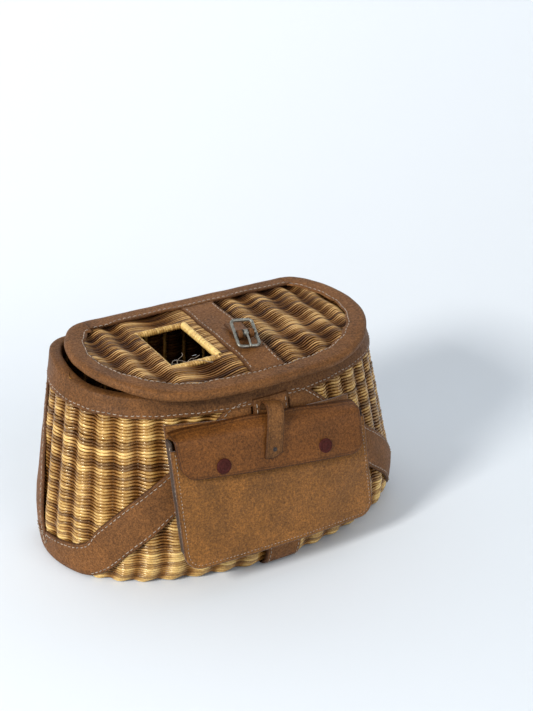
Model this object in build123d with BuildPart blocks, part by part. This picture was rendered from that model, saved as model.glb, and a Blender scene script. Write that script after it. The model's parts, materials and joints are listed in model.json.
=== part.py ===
"""Wicker fishing creel: a woven basket in a leather harness, with a hinged woven lid,
a fish hole, a buckled lid strap and a snap-fastened front pocket.

Frame: millimetres, +Z up, +X to the creel's right-hand end, front towards -Y.
The origin is on the floor, under the middle of the rim.
"""
import os
from math import atan, cos, radians, sin

from build123d import *

os.makedirs("parts", exist_ok=True)

# ---- driving dimensions -------------------------------------------------------------
# plan outline: a straight back, tight rear corners, swept ends and a flat-arched front
CORNER_RADIUS = 23.0
CORNER_TURN = 65.0
END_TURN = 90.0
FRONT_TURN = 180.0 - CORNER_TURN - END_TURN

RIM_HEIGHT = 188.0
RIM_HALF_WIDTH = 152.0
RIM_DEPTH = 148.5
RIM_TILT = 2.86
BELLY_HEIGHT = 40.0
BELLY_HALF_WIDTH = 178.0
BELLY_DEPTH = 180.5
BELLY_REAR_BULGE = 1.4
FOOT_HALF_WIDTH = 174.0
FOOT_DEPTH = 154.0
FOOT_REAR_INSET = 3.0
REAR_Y = RIM_DEPTH / 2

WALL = 4.0
FIT_GAP = 0.05
WICKER_TOP = 186.0
STAKE_COUNT = 40
STAKE_WIDTH = 4.0
STAKE_THICKNESS = 2.4
HOOP_WIDTH = 4.0
HOOP_HEIGHT = 8.0

LEATHER = 2.2
RIM_BAND_HEIGHT = 26.0
RIM_LIP = 12.0
HARNESS_GAP = 0.2
CENTRE_STRAP_HALF = 17.5

LID_GAP = 0.3
LID_HALF_WIDTH = 144.3
LID_DEPTH = 168.8
LID_CORNER_RADIUS = 26.0
LID_CORNER_TURN = 55.0
LID_END_TURN = 117.0
LID_SHIFT = -2.0
LID_OVERHANG = 2.0
LID_THICKNESS = 10.0
BINDING_WIDTH = 20.0
BINDING_WALL = 1.6
LID_WEAVE_LOW = 2.2
LID_WEAVE_HIGH = 7.8
HOLE_LEFT, HOLE_RIGHT = -72.0, -28.6
HOLE_REAR, HOLE_FRONT = 31.5, -34.2
HOLE_BORDER = 6.0
LID_STRAP_LEFT, LID_STRAP_RIGHT = -14.5, 19.5
LID_STRAP_THICKNESS = 2.0

BUCKLE_WIDTH = 23.0
BUCKLE_LENGTH = 32.0
BUCKLE_WIRE = 3.0
BUCKLE_TILT = 28.0
BUCKLE_SKEW = 10.0
BUCKLE_X, BUCKLE_Y = 4.0, -30.0
BUCKLE_RISE = 9.0
PIN_CLEARANCE = 0.05
PRONG_WIRE = 2.2
PRONG_SLOT = 5.0

# the pocket is laid out on a plane that leans with the basket's front
POCKET_X = -5.0
POCKET_LEVEL = 100.0
POCKET_HALF_WIDTH = 98.0
POCKET_LOW = -73.0
POCKET_CORNER = 16.0
POCKET_WALL = 2.0
PANEL_BOW_RADIUS = 800.0
PANEL_FACE = 13.0
FLAP_HINGE = 47.0
FLAP_SLANT = 4.65
FLAP_LENGTH = 39.0
FLAP_HALF_WIDTH = 94.0
FLAP_CORNER = 14.0
FLAP_GAP = 1.6
FLAP_PIVOT_DEPTH = 8.5
MOUTH_DROP = 17.0
SNAP_X = 52.0
SNAP_DROP = 26.0
CAP_RADIUS = 7.3
CAP_HEIGHT = 1.8
SHANK_RADIUS = 4.5
SOCKET_RADIUS = 3.4
STUD_RADIUS = 3.0

TAB_X = 3.0
TAB_WIDTH = 17.0
TAB_THICKNESS = 2.3
TAB_SLANT = 10.0
TAB_PIVOT = (9.5, 60.0)

DEE_X = 92.0
DEE_HEIGHT = 146.0
DEE_WIDTH = 26.0
DEE_WIRE = 3.2
DEE_EYE_RADIUS = 3.4
DEE_PLATE_HALF = 14.0


# ---- the basket's surface -----------------------------------------------------------
def plan_radii(half_width, depth, corner, corner_turn, end_turn):
    """Radii of the end arc and the front arc, and where the straight back stops."""
    first, second = radians(corner_turn), radians(corner_turn + end_turn)
    a1, b1 = cos(first) - cos(second), 1 + cos(second)
    a2, b2 = 1 - sin(second), sin(second)
    reach = depth - corner * (1 - cos(first))
    end = (reach * b2 - half_width * b1) / (a1 * b2 - a2 * b1)
    front = (half_width - a2 * end) / b2
    straight = front * sin(second) - corner * sin(first) - end * (sin(second) - sin(first))
    return end, front, straight


def plan(level, half_width, depth, offset=0.0, corner=CORNER_RADIUS, turns=(CORNER_TURN, END_TURN)):
    """Plan outline as a face on a level plane, its back edge on the plane's X axis."""
    corner_turn, end_turn = turns
    end, front, straight = plan_radii(half_width, depth, corner, corner_turn, end_turn)
    with BuildSketch(level) as outline:
        with BuildLine():
            back = Line((0, offset), (straight, offset))
            corner_arc = JernArc(back @ 1, back % 1, corner + offset, -corner_turn)
            end_arc = JernArc(corner_arc @ 1, corner_arc % 1, end + offset, -end_turn)
            JernArc(end_arc @ 1, end_arc % 1, front + offset, corner_turn + end_turn - 180)
            mirror(about=Plane.YZ)
        make_face()
    return outline.sketch


def mix(start, finish, share):
    return start + (finish - start) * share


def foot_rounding(height):
    """Share of the way from the foot outline to the belly outline, a rounded lower edge."""
    return (1 - (1 - height / BELLY_HEIGHT) ** 3) ** (1 / 3)


def section(height):
    """Plane, half width and depth of the outline whose back edge is at this height."""
    if height <= BELLY_HEIGHT:
        share = foot_rounding(height)
        rear = REAR_Y + mix(-FOOT_REAR_INSET, BELLY_REAR_BULGE, share)
        level = Plane((0, rear, height), x_dir=(1, 0, 0), z_dir=(0, 0, 1))
        return level, mix(FOOT_HALF_WIDTH, BELLY_HALF_WIDTH, share), mix(FOOT_DEPTH, BELLY_DEPTH, share)
    share = (height - BELLY_HEIGHT) / (RIM_HEIGHT - BELLY_HEIGHT)
    tilt = radians(RIM_TILT) * share
    rear = REAR_Y + BELLY_REAR_BULGE * (1 - share)
    level = Plane((0, rear, height), x_dir=(1, 0, 0), z_dir=(0, -sin(tilt), cos(tilt)))
    return level, mix(BELLY_HALF_WIDTH, RIM_HALF_WIDTH, share), mix(BELLY_DEPTH, RIM_DEPTH, share)


FOOT_LEVELS = [0.0, 1.6, 4.8, 10.0, 18.0, 28.0, BELLY_HEIGHT]


def block(offset, low, high):
    """Solid inside the basket's surface moved outwards by offset, between two heights."""
    heights = [low] + [level for level in FOOT_LEVELS if low < level < high] + [high]
    outlines = [plan(*section(height), offset) for height in heights]
    with BuildPart() as solid:
        loft(outlines, ruled=True)
    return solid.part


def ring(outer, inner, low, high, spare=3.0):
    """Wall between two offsets of the basket's surface."""
    with BuildPart() as wall:
        add(block(outer, low, high))
        add(block(inner, low, high + spare), mode=Mode.SUBTRACT)
    return wall.part


def front_prism(points, reach=0.0):
    """Prism through the basket's front half, its outline given as x, z points."""
    with BuildPart() as prism:
        with BuildSketch(Plane.XZ.offset(-reach)):
            with BuildLine():
                Polyline(*points, close=True)
            make_face()
        extrude(amount=130 + reach)
    return prism.part


def finish(solid, name):
    solid.label = name
    export_step(solid, f"parts/{name}.step")


# ---- basket -------------------------------------------------------------------------
basket_outer = block(0, 0, WICKER_TOP)
basket_inner = block(-WALL, WALL, WICKER_TOP + 4)

with BuildPart() as basket_weave:
    add(basket_outer)
    add(basket_inner, mode=Mode.SUBTRACT)
finish(basket_weave.part, "basket_weave")

stake_layer = ring(-WALL - FIT_GAP, -WALL - STAKE_THICKNESS, WALL + 2, WICKER_TOP - HOOP_HEIGHT - 1)
with BuildPart() as basket_stakes:
    with PolarLocations(0, STAKE_COUNT, start_angle=180 / STAKE_COUNT):
        Box(220, STAKE_WIDTH, 2 * RIM_HEIGHT, align=(Align.MIN, Align.CENTER, Align.CENTER))
    add(stake_layer, mode=Mode.INTERSECT)
finish(basket_stakes.part, "basket_stakes")

finish(ring(-WALL, -WALL - HOOP_WIDTH, WICKER_TOP - HOOP_HEIGHT, WICKER_TOP), "rim_hoop")

rim_band_low = RIM_HEIGHT - RIM_BAND_HEIGHT
lip_offset = -WALL - HOOP_WIDTH
lip_low = WICKER_TOP - RIM_LIP
with BuildPart() as rim_band:
    add(block(LEATHER, rim_band_low, RIM_HEIGHT))
    add(block(FIT_GAP, rim_band_low - 1, WICKER_TOP), mode=Mode.SUBTRACT)
    add(block(lip_offset, lip_low, WICKER_TOP + 1))
    add(block(lip_offset - LEATHER, lip_low - 1, RIM_HEIGHT + 3), mode=Mode.SUBTRACT)
finish(rim_band.part, "rim_band")

# ---- leather harness on the basket ----------------------------------------------------
harness_layer = ring(LEATHER, FIT_GAP, 0, rim_band_low - HARNESS_GAP)
strap_layer = ring(2 * LEATHER, FIT_GAP, 0, rim_band_low - HARNESS_GAP)

# outlines in front view, right-hand side; the left is their mirror image; the diagonal
# bands run on round the foot of the ends as far as the corner bands
diagonal_reach = 30
diagonal_upper = [(42, 158), (101, 105), (131, 81), (154, 55), (168, 35), (178, 19), (190, 15)]
diagonal_lower = [(190, -1), (164, -1), (136, 34), (107, 60), (42, 114)]
diagonal_outline = [(-2, 158)] + diagonal_upper + diagonal_lower + [(-2, 150)]
corner_band_outline = [(55, 175), (16, -1), (90, -1), (90, 175)]


def mirrored(points):
    return [(-x, z) for x, z in points]


with BuildPart() as corner_prism:
    with BuildSketch(Plane.YZ.offset(110)):
        with BuildLine():
            Polyline(*corner_band_outline, close=True)
        make_face()
    extrude(amount=80)

centre_prism = front_prism([(-CENTRE_STRAP_HALF, -1), (CENTRE_STRAP_HALF, -1),
                            (CENTRE_STRAP_HALF, 170), (-CENTRE_STRAP_HALF, 170)])

for side, outline, half_sign in (
    ("right", diagonal_outline, 1),
    ("left", mirrored(diagonal_outline), -1),
):
    corner_solid = corner_prism.part if side == "right" else mirror(corner_prism.part, about=Plane.YZ)
    outline_solid = front_prism(outline, reach=diagonal_reach)
    with BuildPart() as corner_band:
        add(harness_layer)
        add(corner_solid, mode=Mode.INTERSECT)
    finish(corner_band.part, f"{side}_corner_band")

    with BuildPart() as diagonal_band:
        add(outline_solid)
        with Locations((half_sign * 100, 0, 90)):
            Box(200, 400, 200, mode=Mode.INTERSECT)
        add(harness_layer, mode=Mode.INTERSECT)
        add(corner_band.part, mode=Mode.SUBTRACT)
        add(centre_prism, mode=Mode.SUBTRACT)
    finish(diagonal_band.part, f"{side}_diagonal_band")

with BuildPart() as centre_strap:
    add(strap_layer)
    add(centre_prism, mode=Mode.INTERSECT)
finish(centre_strap.part, "centre_strap")

# ---- hinge leather and carrying rings on the back --------------------------------------
hinge_half = 108.0
hinge_face = REAR_Y + LEATHER + 0.3
hinge_thickness = 1.9
hinge_low, hinge_high = rim_band_low + 0.5, RIM_HEIGHT - 1.5
with BuildPart() as hinge_leather:
    with Locations((0, hinge_face, hinge_low)):
        Box(2 * hinge_half, hinge_thickness, hinge_high - hinge_low,
            align=(Align.CENTER, Align.MIN, Align.MIN))
finish(hinge_leather.part, "hinge_leather")

dee_eye_y = REAR_Y + 0.5 + LEATHER + DEE_EYE_RADIUS - 0.4
for side, dee_x in (("right", DEE_X), ("left", -DEE_X)):
    with BuildPart() as dee_patch:
        add(harness_layer)
        with Locations((dee_x, REAR_Y, DEE_HEIGHT - 14)):
            Box(2 * DEE_PLATE_HALF, 30, 48, mode=Mode.INTERSECT)
    with BuildPart() as dee_loop:
        add(dee_patch.part)
        with BuildSketch(Plane.YZ.offset(dee_x - DEE_WIDTH / 2 + 1)):
            with Locations((dee_eye_y, DEE_HEIGHT)):
                Circle(DEE_EYE_RADIUS)
            with Locations((REAR_Y + 2.0, DEE_HEIGHT)):
                Rectangle(dee_eye_y - REAR_Y - 2.0, 2 * DEE_EYE_RADIUS, align=(Align.MIN, Align.CENTER))
            with Locations((dee_eye_y, DEE_HEIGHT)):
                Circle(DEE_WIRE / 2 + PIN_CLEARANCE, mode=Mode.SUBTRACT)
        extrude(amount=DEE_WIDTH - 2)
    finish(dee_loop.part, f"{side}_dee_loop")

    bar_end = Vector(dee_x + DEE_WIDTH / 2 + 1, dee_eye_y, DEE_HEIGHT)
    bar_start = Vector(dee_x - DEE_WIDTH / 2 - 1, dee_eye_y, DEE_HEIGHT)
    with BuildPart() as dee_ring:
        with BuildLine() as dee_bow:
            ThreePointArc(bar_start, (dee_x, dee_eye_y, DEE_HEIGHT - DEE_WIDTH * 0.72), bar_end)
        with BuildSketch(Plane(bar_start, z_dir=dee_bow.line % 0)):
            Circle(DEE_WIRE / 2)
        sweep(path=dee_bow.wire())
        with BuildSketch(Plane(bar_start, z_dir=(1, 0, 0))):
            Circle(DEE_WIRE / 2)
        extrude(amount=DEE_WIDTH + 2)
        with Locations(bar_start, bar_end):
            Sphere(DEE_WIRE / 2)
    finish(dee_ring.part, f"{side}_dee_ring")

# ---- lid -------------------------------------------------------------------------------
tilt = radians(RIM_TILT)
lid_level = Plane((LID_SHIFT, REAR_Y + LID_OVERHANG, RIM_HEIGHT + LID_GAP),
                  x_dir=(1, 0, 0), z_dir=(0, -sin(tilt), cos(tilt)))
lid_turns = (LID_CORNER_TURN, LID_END_TURN)


def lid_slab(inset, low, high):
    """Plate with the lid's outline moved inwards, between two heights above its underside."""
    outline = plan(lid_level.offset(low), LID_HALF_WIDTH, LID_DEPTH, -inset, LID_CORNER_RADIUS, lid_turns)
    with BuildPart() as slab:
        extrude(outline, amount=high - low)
    return slab.part


def lid_box(left, right, rear, front, low, high):
    """Box on the lid, from left to right and rear to front in the creel's own x and y."""
    with BuildPart() as box:
        with BuildSketch(lid_level.offset(low)):
            with Locations(((left + right) / 2 - LID_SHIFT, (rear + front) / 2 - REAR_Y - LID_OVERHANG)):
                Rectangle(right - left, rear - front)
        extrude(amount=high - low)
    return box.part


lid_rear = REAR_Y + LID_OVERHANG
back_strip_zone = lid_box(-hinge_half, hinge_half, lid_rear + 1, lid_rear - BINDING_WIDTH, -1, 12)

with BuildPart() as lid_binding:
    add(lid_slab(0, 0, LID_THICKNESS))
    add(lid_slab(BINDING_WIDTH, 0, LID_THICKNESS), mode=Mode.SUBTRACT)
    add(lid_slab(BINDING_WALL, BINDING_WALL, LID_THICKNESS - BINDING_WALL), mode=Mode.SUBTRACT)

with BuildPart() as lid_edge_binding:
    add(lid_binding.part)
    add(back_strip_zone, mode=Mode.SUBTRACT)
finish(lid_edge_binding.part, "lid_edge_binding")

with BuildPart() as lid_back_binding:
    add(lid_binding.part)
    add(back_strip_zone, mode=Mode.INTERSECT)
finish(lid_back_binding.part, "lid_back_binding")

rod_inset, rod_width = 2.0, 5.0
with BuildPart() as lid_rod:
    add(lid_slab(rod_inset, 2.0, 8.0))
    add(lid_slab(rod_inset + rod_width, 2.0, 8.0), mode=Mode.SUBTRACT)
finish(lid_rod.part, "lid_rod")

border = (HOLE_LEFT - HOLE_BORDER, HOLE_RIGHT + HOLE_BORDER,
          HOLE_REAR + HOLE_BORDER, HOLE_FRONT - HOLE_BORDER)
with BuildPart() as lid_weave:
    add(lid_slab(rod_inset + rod_width, LID_WEAVE_LOW, LID_WEAVE_HIGH))
    add(lid_box(*border, -1, 12), mode=Mode.SUBTRACT)
finish(lid_weave.part, "lid_weave")

with BuildPart() as fish_hole_border:
    add(lid_box(*border, 1.2, 8.8))
    add(lid_box(HOLE_LEFT, HOLE_RIGHT, HOLE_REAR, HOLE_FRONT, 0, 12), mode=Mode.SUBTRACT)
finish(fish_hole_border.part, "fish_hole_border")

strap_top = LID_WEAVE_HIGH + LID_STRAP_THICKNESS
with BuildPart() as lid_strap:
    add(lid_slab(BINDING_WIDTH, LID_WEAVE_HIGH, strap_top))
    add(lid_box(LID_STRAP_LEFT, LID_STRAP_RIGHT, 90, -110, 0, 20), mode=Mode.INTERSECT)
finish(lid_strap.part, "lid_strap")

# ---- buckle on the lid strap -------------------------------------------------------------
skew = radians(BUCKLE_SKEW)
pivot = lid_level.from_local_coords(
    Vector(BUCKLE_X - LID_SHIFT, BUCKLE_Y - lid_rear, strap_top + BUCKLE_RISE))
pin_axis = lid_level.from_local_coords(Vector(cos(skew), -sin(skew), 0)) - lid_level.origin
buckle_level = Plane(pivot, x_dir=pin_axis, z_dir=lid_level.z_dir)
frame_level = buckle_level.rotated((BUCKLE_TILT, 0, 0))
bar_radius = BUCKLE_WIRE / 2
eye_radius = bar_radius + 2.6
chape_width = BUCKLE_WIDTH - 2 * BUCKLE_WIRE - 1

with BuildPart() as buckle_chape:
    with BuildSketch(Plane(pivot, x_dir=buckle_level.y_dir, z_dir=buckle_level.x_dir)):
        Circle(eye_radius)
        with BuildLine():
            Polyline((-3.0, -BUCKLE_RISE), (-eye_radius, 0), (0, 0), (3.4, 2.2), (10, -3.8), (18, -5.6),
                     (36, -5.6), (36, -BUCKLE_RISE), close=True)
        make_face()
        Circle(bar_radius + PIN_CLEARANCE, mode=Mode.SUBTRACT)
    extrude(amount=chape_width / 2, both=True)
    with BuildSketch(buckle_level.offset(-6)):
        Rectangle(PRONG_SLOT, 2 * eye_radius + 4)
    extrude(amount=12, mode=Mode.SUBTRACT)
finish(buckle_chape.part, "buckle_chape")

half_x = (BUCKLE_WIDTH - BUCKLE_WIRE) / 2
half_y = (BUCKLE_LENGTH - BUCKLE_WIRE) / 2
with BuildPart() as buckle_frame:
    with BuildLine(frame_level) as frame_path:
        FilletPolyline((half_x, half_y), (-half_x, half_y), (-half_x, -half_y), (half_x, -half_y),
                       radius=3.5, close=True)
    with BuildSketch(Plane(frame_path.wire() @ 0, z_dir=frame_path.wire() % 0)):
        Circle(bar_radius)
    sweep(path=frame_path.wire())
    with BuildSketch(Plane(pivot, z_dir=pin_axis)):
        Circle(bar_radius)
    extrude(amount=half_x, both=True)
finish(buckle_frame.part, "buckle_frame")

prong_radius = PRONG_WIRE / 2
prong_eye = bar_radius + PRONG_WIRE - 0.2
tip_rise = bar_radius + prong_radius + 0.1
with BuildPart() as buckle_prong:
    with BuildLine(Plane(pivot, x_dir=frame_level.y_dir, z_dir=frame_level.x_dir)) as prong_path:
        Spline((-1.5, prong_eye - prong_radius), (-8, 3.0),
               (-half_y, tip_rise), (-half_y - 2, tip_rise - 0.6))
    with BuildSketch(Plane(prong_path.line @ 0, z_dir=prong_path.line % 0)):
        Circle(prong_radius)
    sweep(path=prong_path.wire())
    with BuildSketch(Plane(pivot, z_dir=pin_axis)):
        Circle(prong_eye)
    extrude(amount=PRONG_SLOT / 2 - 0.6, both=True)
    with BuildSketch(Plane(pivot, z_dir=pin_axis)):
        Circle(bar_radius + PIN_CLEARANCE)
    extrude(amount=PRONG_SLOT, both=True, mode=Mode.SUBTRACT)
finish(buckle_prong.part, "buckle_prong")

# ---- pocket on the front -----------------------------------------------------------------
belly_front = REAR_Y + BELLY_REAR_BULGE - BELLY_DEPTH
rim_front = REAR_Y - RIM_DEPTH * cos(tilt)
rim_front_height = RIM_HEIGHT - RIM_DEPTH * sin(tilt)
front_slope = (rim_front - belly_front) / (rim_front_height - BELLY_HEIGHT)
lean = atan(front_slope)
pocket_y = belly_front + (POCKET_LEVEL - BELLY_HEIGHT) * front_slope
pocket_level = Plane((POCKET_X, pocket_y, POCKET_LEVEL), x_dir=(1, 0, 0), z_dir=(0, -cos(lean), sin(lean)))
slant = radians(FLAP_SLANT)
hinge_centre = pocket_level.from_local_coords(Vector(0, FLAP_HINGE, 0))
flap_level = Plane(hinge_centre, x_dir=pocket_level.x_dir * cos(slant) - pocket_level.y_dir * sin(slant),
                   z_dir=pocket_level.z_dir)


def bowed_sheet(level, face, thickness, low, high):
    """Sheet bowed forwards across its width, running up the pocket from low to high."""
    base = level.from_local_coords(Vector(0, low, 0))
    bow_centre = PANEL_BOW_RADIUS - PANEL_FACE
    with BuildPart() as sheet:
        with BuildSketch(Plane(base, x_dir=level.x_dir, z_dir=level.y_dir)):
            with Locations((0, bow_centre)):
                Circle(bow_centre + face)
                Circle(bow_centre + face - thickness, mode=Mode.SUBTRACT)
            Rectangle(2.4 * POCKET_HALF_WIDTH, 80, mode=Mode.INTERSECT)
        extrude(amount=high - low)
    return sheet.part


def pocket_prism(inset, top):
    """Prism of the pocket's front outline: round lower corners and a slanted mouth."""
    half = POCKET_HALF_WIDTH - inset
    low = POCKET_LOW + inset
    rise = half * sin(slant)
    radius = POCKET_CORNER - inset
    with BuildPart() as prism:
        with BuildSketch(pocket_level.offset(-40)):
            with BuildLine():
                FilletPolyline((-half, top + rise), (-half, low),
                               (half, low), (half, top - rise), radius=radius)
                Line((half, top - rise), (-half, top + rise))
            make_face()
        extrude(amount=80)
    return prism.part


mouth = FLAP_HINGE - MOUTH_DROP
back_inner = 2 * LEATHER
back_outer = back_inner + POCKET_WALL
basket_clear = block(back_outer, 0, rim_band_low)

with BuildPart() as pocket_back:
    add(ring(back_outer, back_inner, 0, rim_band_low))
    add(pocket_prism(0, FLAP_HINGE), mode=Mode.INTERSECT)
    Box(400, 400, 400, align=(Align.CENTER, Align.MAX, Align.CENTER), mode=Mode.INTERSECT)
finish(pocket_back.part, "pocket_back")

with BuildPart() as pocket_panel:
    add(bowed_sheet(pocket_level, PANEL_FACE, POCKET_WALL, POCKET_LOW - 2, FLAP_HINGE))
    add(pocket_prism(0, mouth), mode=Mode.INTERSECT)
finish(pocket_panel.part, "pocket_panel")

with BuildPart() as pocket_gusset:
    add(bowed_sheet(pocket_level, PANEL_FACE - POCKET_WALL - FIT_GAP, 39, POCKET_LOW - 2, FLAP_HINGE))
    add(pocket_prism(0, mouth), mode=Mode.INTERSECT)
    add(pocket_prism(POCKET_WALL, FLAP_HINGE), mode=Mode.SUBTRACT)
    add(basket_clear, mode=Mode.SUBTRACT)
finish(pocket_gusset.part, "pocket_gusset")

# ---- pocket flap, snaps and hinge fold ----------------------------------------------------
flap_inner = PANEL_FACE + FLAP_GAP
flap_face = flap_inner + LEATHER
snap_spots = [(-SNAP_X, -SNAP_DROP), (SNAP_X, -SNAP_DROP)]
bow_at_snap = SNAP_X ** 2 / (2 * PANEL_BOW_RADIUS)
snap_face = flap_face - bow_at_snap

with BuildPart() as pocket_flap:
    add(bowed_sheet(flap_level, flap_face, LEATHER, -FLAP_LENGTH - 2, 5))
    with BuildSketch(flap_level.offset(-5)):
        with BuildLine():
            FilletPolyline((-FLAP_HALF_WIDTH, -0.8), (-FLAP_HALF_WIDTH, -FLAP_LENGTH),
                           (FLAP_HALF_WIDTH, -FLAP_LENGTH), (FLAP_HALF_WIDTH, -0.8), radius=FLAP_CORNER)
            Line((FLAP_HALF_WIDTH, -0.8), (-FLAP_HALF_WIDTH, -0.8))
        make_face()
    extrude(amount=40, mode=Mode.INTERSECT)
    with BuildSketch(flap_level):
        with Locations(*snap_spots):
            Circle(SHANK_RADIUS + 0.05)
    extrude(amount=40, mode=Mode.SUBTRACT)
finish(pocket_flap.part, "pocket_flap")

with BuildPart() as flap_snap_caps:
    with BuildSketch(flap_level.offset(snap_face + 0.5)):
        with Locations(*snap_spots):
            Circle(CAP_RADIUS)
    extrude(amount=CAP_HEIGHT)
    fillet(flap_snap_caps.edges().group_by(Axis(hinge_centre, flap_level.z_dir))[-1], 1.2)
    with BuildSketch(flap_level.offset(snap_face - LEATHER - 0.2)):
        with Locations(*snap_spots):
            Circle(SHANK_RADIUS)
    extrude(amount=LEATHER + 0.7)
    with BuildSketch(flap_level.offset(snap_face - LEATHER - 0.2)):
        with Locations(*snap_spots):
            Circle(SOCKET_RADIUS)
    extrude(amount=1.8, mode=Mode.SUBTRACT)
finish(flap_snap_caps.part, "flap_snap_caps")

stud_base = PANEL_FACE - bow_at_snap + 0.5
with BuildPart() as pocket_snap_studs:
    with BuildSketch(flap_level.offset(stud_base)):
        with Locations(*snap_spots):
            Circle(STUD_RADIUS + 1.8)
    extrude(amount=0.5)
    with BuildSketch(flap_level.offset(stud_base)):
        with Locations(*snap_spots):
            Circle(STUD_RADIUS)
    extrude(amount=2.0)
finish(pocket_snap_studs.part, "pocket_snap_studs")

with BuildPart() as flap_fold:
    with BuildSketch(flap_level.offset(-30)):
        with Locations((0, 0.6)):
            Rectangle(2 * FLAP_HALF_WIDTH, LEATHER, align=(Align.CENTER, Align.MIN))
    extrude(amount=30 + FLAP_PIVOT_DEPTH + 1)
    add(bowed_sheet(flap_level, FLAP_PIVOT_DEPTH + 1, 60, 0, 5), mode=Mode.INTERSECT)
    add(basket_clear, mode=Mode.SUBTRACT)
finish(flap_fold.part, "flap_fold")

# ---- closure strap that hangs over the flap -------------------------------------------------
tab_depth, tab_top = TAB_PIVOT
tab_start = pocket_level.from_local_coords(Vector(TAB_X - POCKET_X, tab_top, tab_depth))
tab_slant = radians(TAB_SLANT)
tab_axis = pocket_level.x_dir * cos(tab_slant) - pocket_level.y_dir * sin(tab_slant)
tab_level = Plane(tab_start, x_dir=tab_axis, z_dir=pocket_level.z_dir)
tab_inner = flap_face + 0.5 - tab_depth
tab_outer = tab_inner + TAB_THICKNESS
with BuildPart() as closure_strap:
    with BuildSketch(Plane(tab_start, x_dir=tab_level.z_dir, z_dir=tab_axis)):
        with BuildLine():
            Polyline((-1.2, -0.5), (tab_inner, 7.6), (tab_inner, 46), (tab_outer, 46),
                     (tab_outer, 6.4), (1.2, -2.2), close=True)
        make_face()
    extrude(amount=TAB_WIDTH / 2, both=True)
    with BuildSketch(tab_level):
        with Locations((0, -38.5)):
            Circle(1.6)
    extrude(amount=30, mode=Mode.SUBTRACT)
finish(closure_strap.part, "closure_strap")

with BuildPart() as closure_strap_root:
    with BuildSketch(tab_level.offset(-tab_depth - 2)):
        with Locations((0, -1.5)):
            Rectangle(TAB_WIDTH, 9, align=(Align.CENTER, Align.MIN))
    extrude(amount=tab_depth - 0.9)
    add(block(LEATHER, rim_band_low - 6, RIM_HEIGHT), mode=Mode.SUBTRACT)
    add(centre_strap.part, mode=Mode.SUBTRACT)
finish(closure_strap_root.part, "closure_strap_root")
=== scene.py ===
"""Wicker fishing creel: split-willow weave, sewn leather rim, harness, pocket and fittings,
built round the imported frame. Helpers work in millimetres, and pieces are stored in metres."""

import json
import math

import bmesh
import bpy
import numpy as np
from bpy.props import FloatProperty, FloatVectorProperty, IntProperty, PointerProperty
from bpy.types import Operator, Panel, PropertyGroup
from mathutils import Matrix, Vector


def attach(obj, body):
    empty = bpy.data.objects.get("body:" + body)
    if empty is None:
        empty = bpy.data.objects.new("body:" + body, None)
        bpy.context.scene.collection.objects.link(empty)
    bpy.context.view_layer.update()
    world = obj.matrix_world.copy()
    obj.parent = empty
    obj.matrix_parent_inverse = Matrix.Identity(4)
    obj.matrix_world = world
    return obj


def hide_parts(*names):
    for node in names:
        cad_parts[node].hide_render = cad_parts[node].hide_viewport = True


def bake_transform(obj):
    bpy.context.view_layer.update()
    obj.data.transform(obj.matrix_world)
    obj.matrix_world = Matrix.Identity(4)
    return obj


bl_info = {
    "name": "Wicker Fishing Creel",
    "version": (1, 0, 0),
    "blender": (4, 5, 0),
    "location": "3D View > Sidebar > Creel",
    "description": "Weaves and sews a wicker fishing creel round its frame",
    "category": "Add Mesh",
}

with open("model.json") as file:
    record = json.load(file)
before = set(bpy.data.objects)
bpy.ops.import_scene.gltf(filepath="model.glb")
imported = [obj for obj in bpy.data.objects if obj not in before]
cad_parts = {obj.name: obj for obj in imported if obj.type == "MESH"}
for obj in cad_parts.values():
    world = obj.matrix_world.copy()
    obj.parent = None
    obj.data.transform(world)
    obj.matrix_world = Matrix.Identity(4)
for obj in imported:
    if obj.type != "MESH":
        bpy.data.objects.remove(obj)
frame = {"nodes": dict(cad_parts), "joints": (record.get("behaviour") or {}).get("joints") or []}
MM = 0.001
TAU = 2 * math.pi

# ---- driving dimensions in millimetres and radians -----------------------------------------
# They are the frame's, apart from FLAP_LENGTH, SNAP_DROP, TAB_X, TAB_SLANT and TAB_UP, which were
# measured after the frame was fixed, and the ridges and sags, which only this script has.
CORNER_RADIUS, CORNER_TURN, END_TURN = 23.0, math.radians(65), math.radians(90)
RIM_HEIGHT, RIM_HALF_WIDTH, RIM_DEPTH, RIM_TILT = 188.0, 152.0, 148.5, math.radians(2.86)
BELLY_HEIGHT, BELLY_HALF_WIDTH, BELLY_DEPTH, BELLY_BULGE = 40.0, 178.0, 180.5, 1.4
FOOT_HALF_WIDTH, FOOT_DEPTH, FOOT_INSET = 174.0, 154.0, 3.0
REAR_Y = RIM_DEPTH / 2
WALL_MIDDLE = -2.3
RIM_SAG, LID_SAG = 7.0, 5.5
RIDGE_START = 1.475   # number of the first stake under a ridge of the wall; every second one follows
LID_RIDGES = [(-127, 0), (-101, 1), (-76, 2), (-17, 3), (9, 4), (35, 5), (64, 6), (93, 7), (115, 8),
              (138, 9)]   # x of each ridge of the lid, and its number
ROW_LOWEST = 1.9   # no row of the wall lies lower, so that none goes under the floor
ROW_FULLNESS = 0.59   # a strand's half height as a share of the space to the next row
BASE_PITCH = 2.6
BAND_LOW = 162.0
LEATHER = 2.2

LID_HALF_WIDTH, LID_DEPTH, LID_CORNER_RADIUS = 144.3, 168.8, 26.0
LID_CORNER_TURN, LID_END_TURN = math.radians(55), math.radians(117)
LID_SHIFT, LID_REAR, LID_BASE = -2.0, REAR_Y + 2.0, RIM_HEIGHT + 0.3
LID_TOP, LID_WEAVE_MIDDLE = 10.0, 4.9
HINGE_HALF = 108.0
HOLE_LEFT, HOLE_RIGHT, HOLE_REAR, HOLE_FRONT = -72.0, -28.6, 31.5, -34.2
LID_STRAP_LEFT, LID_STRAP_RIGHT, LID_STRAP_BASE = -14.5, 19.5, 7.8

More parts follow.
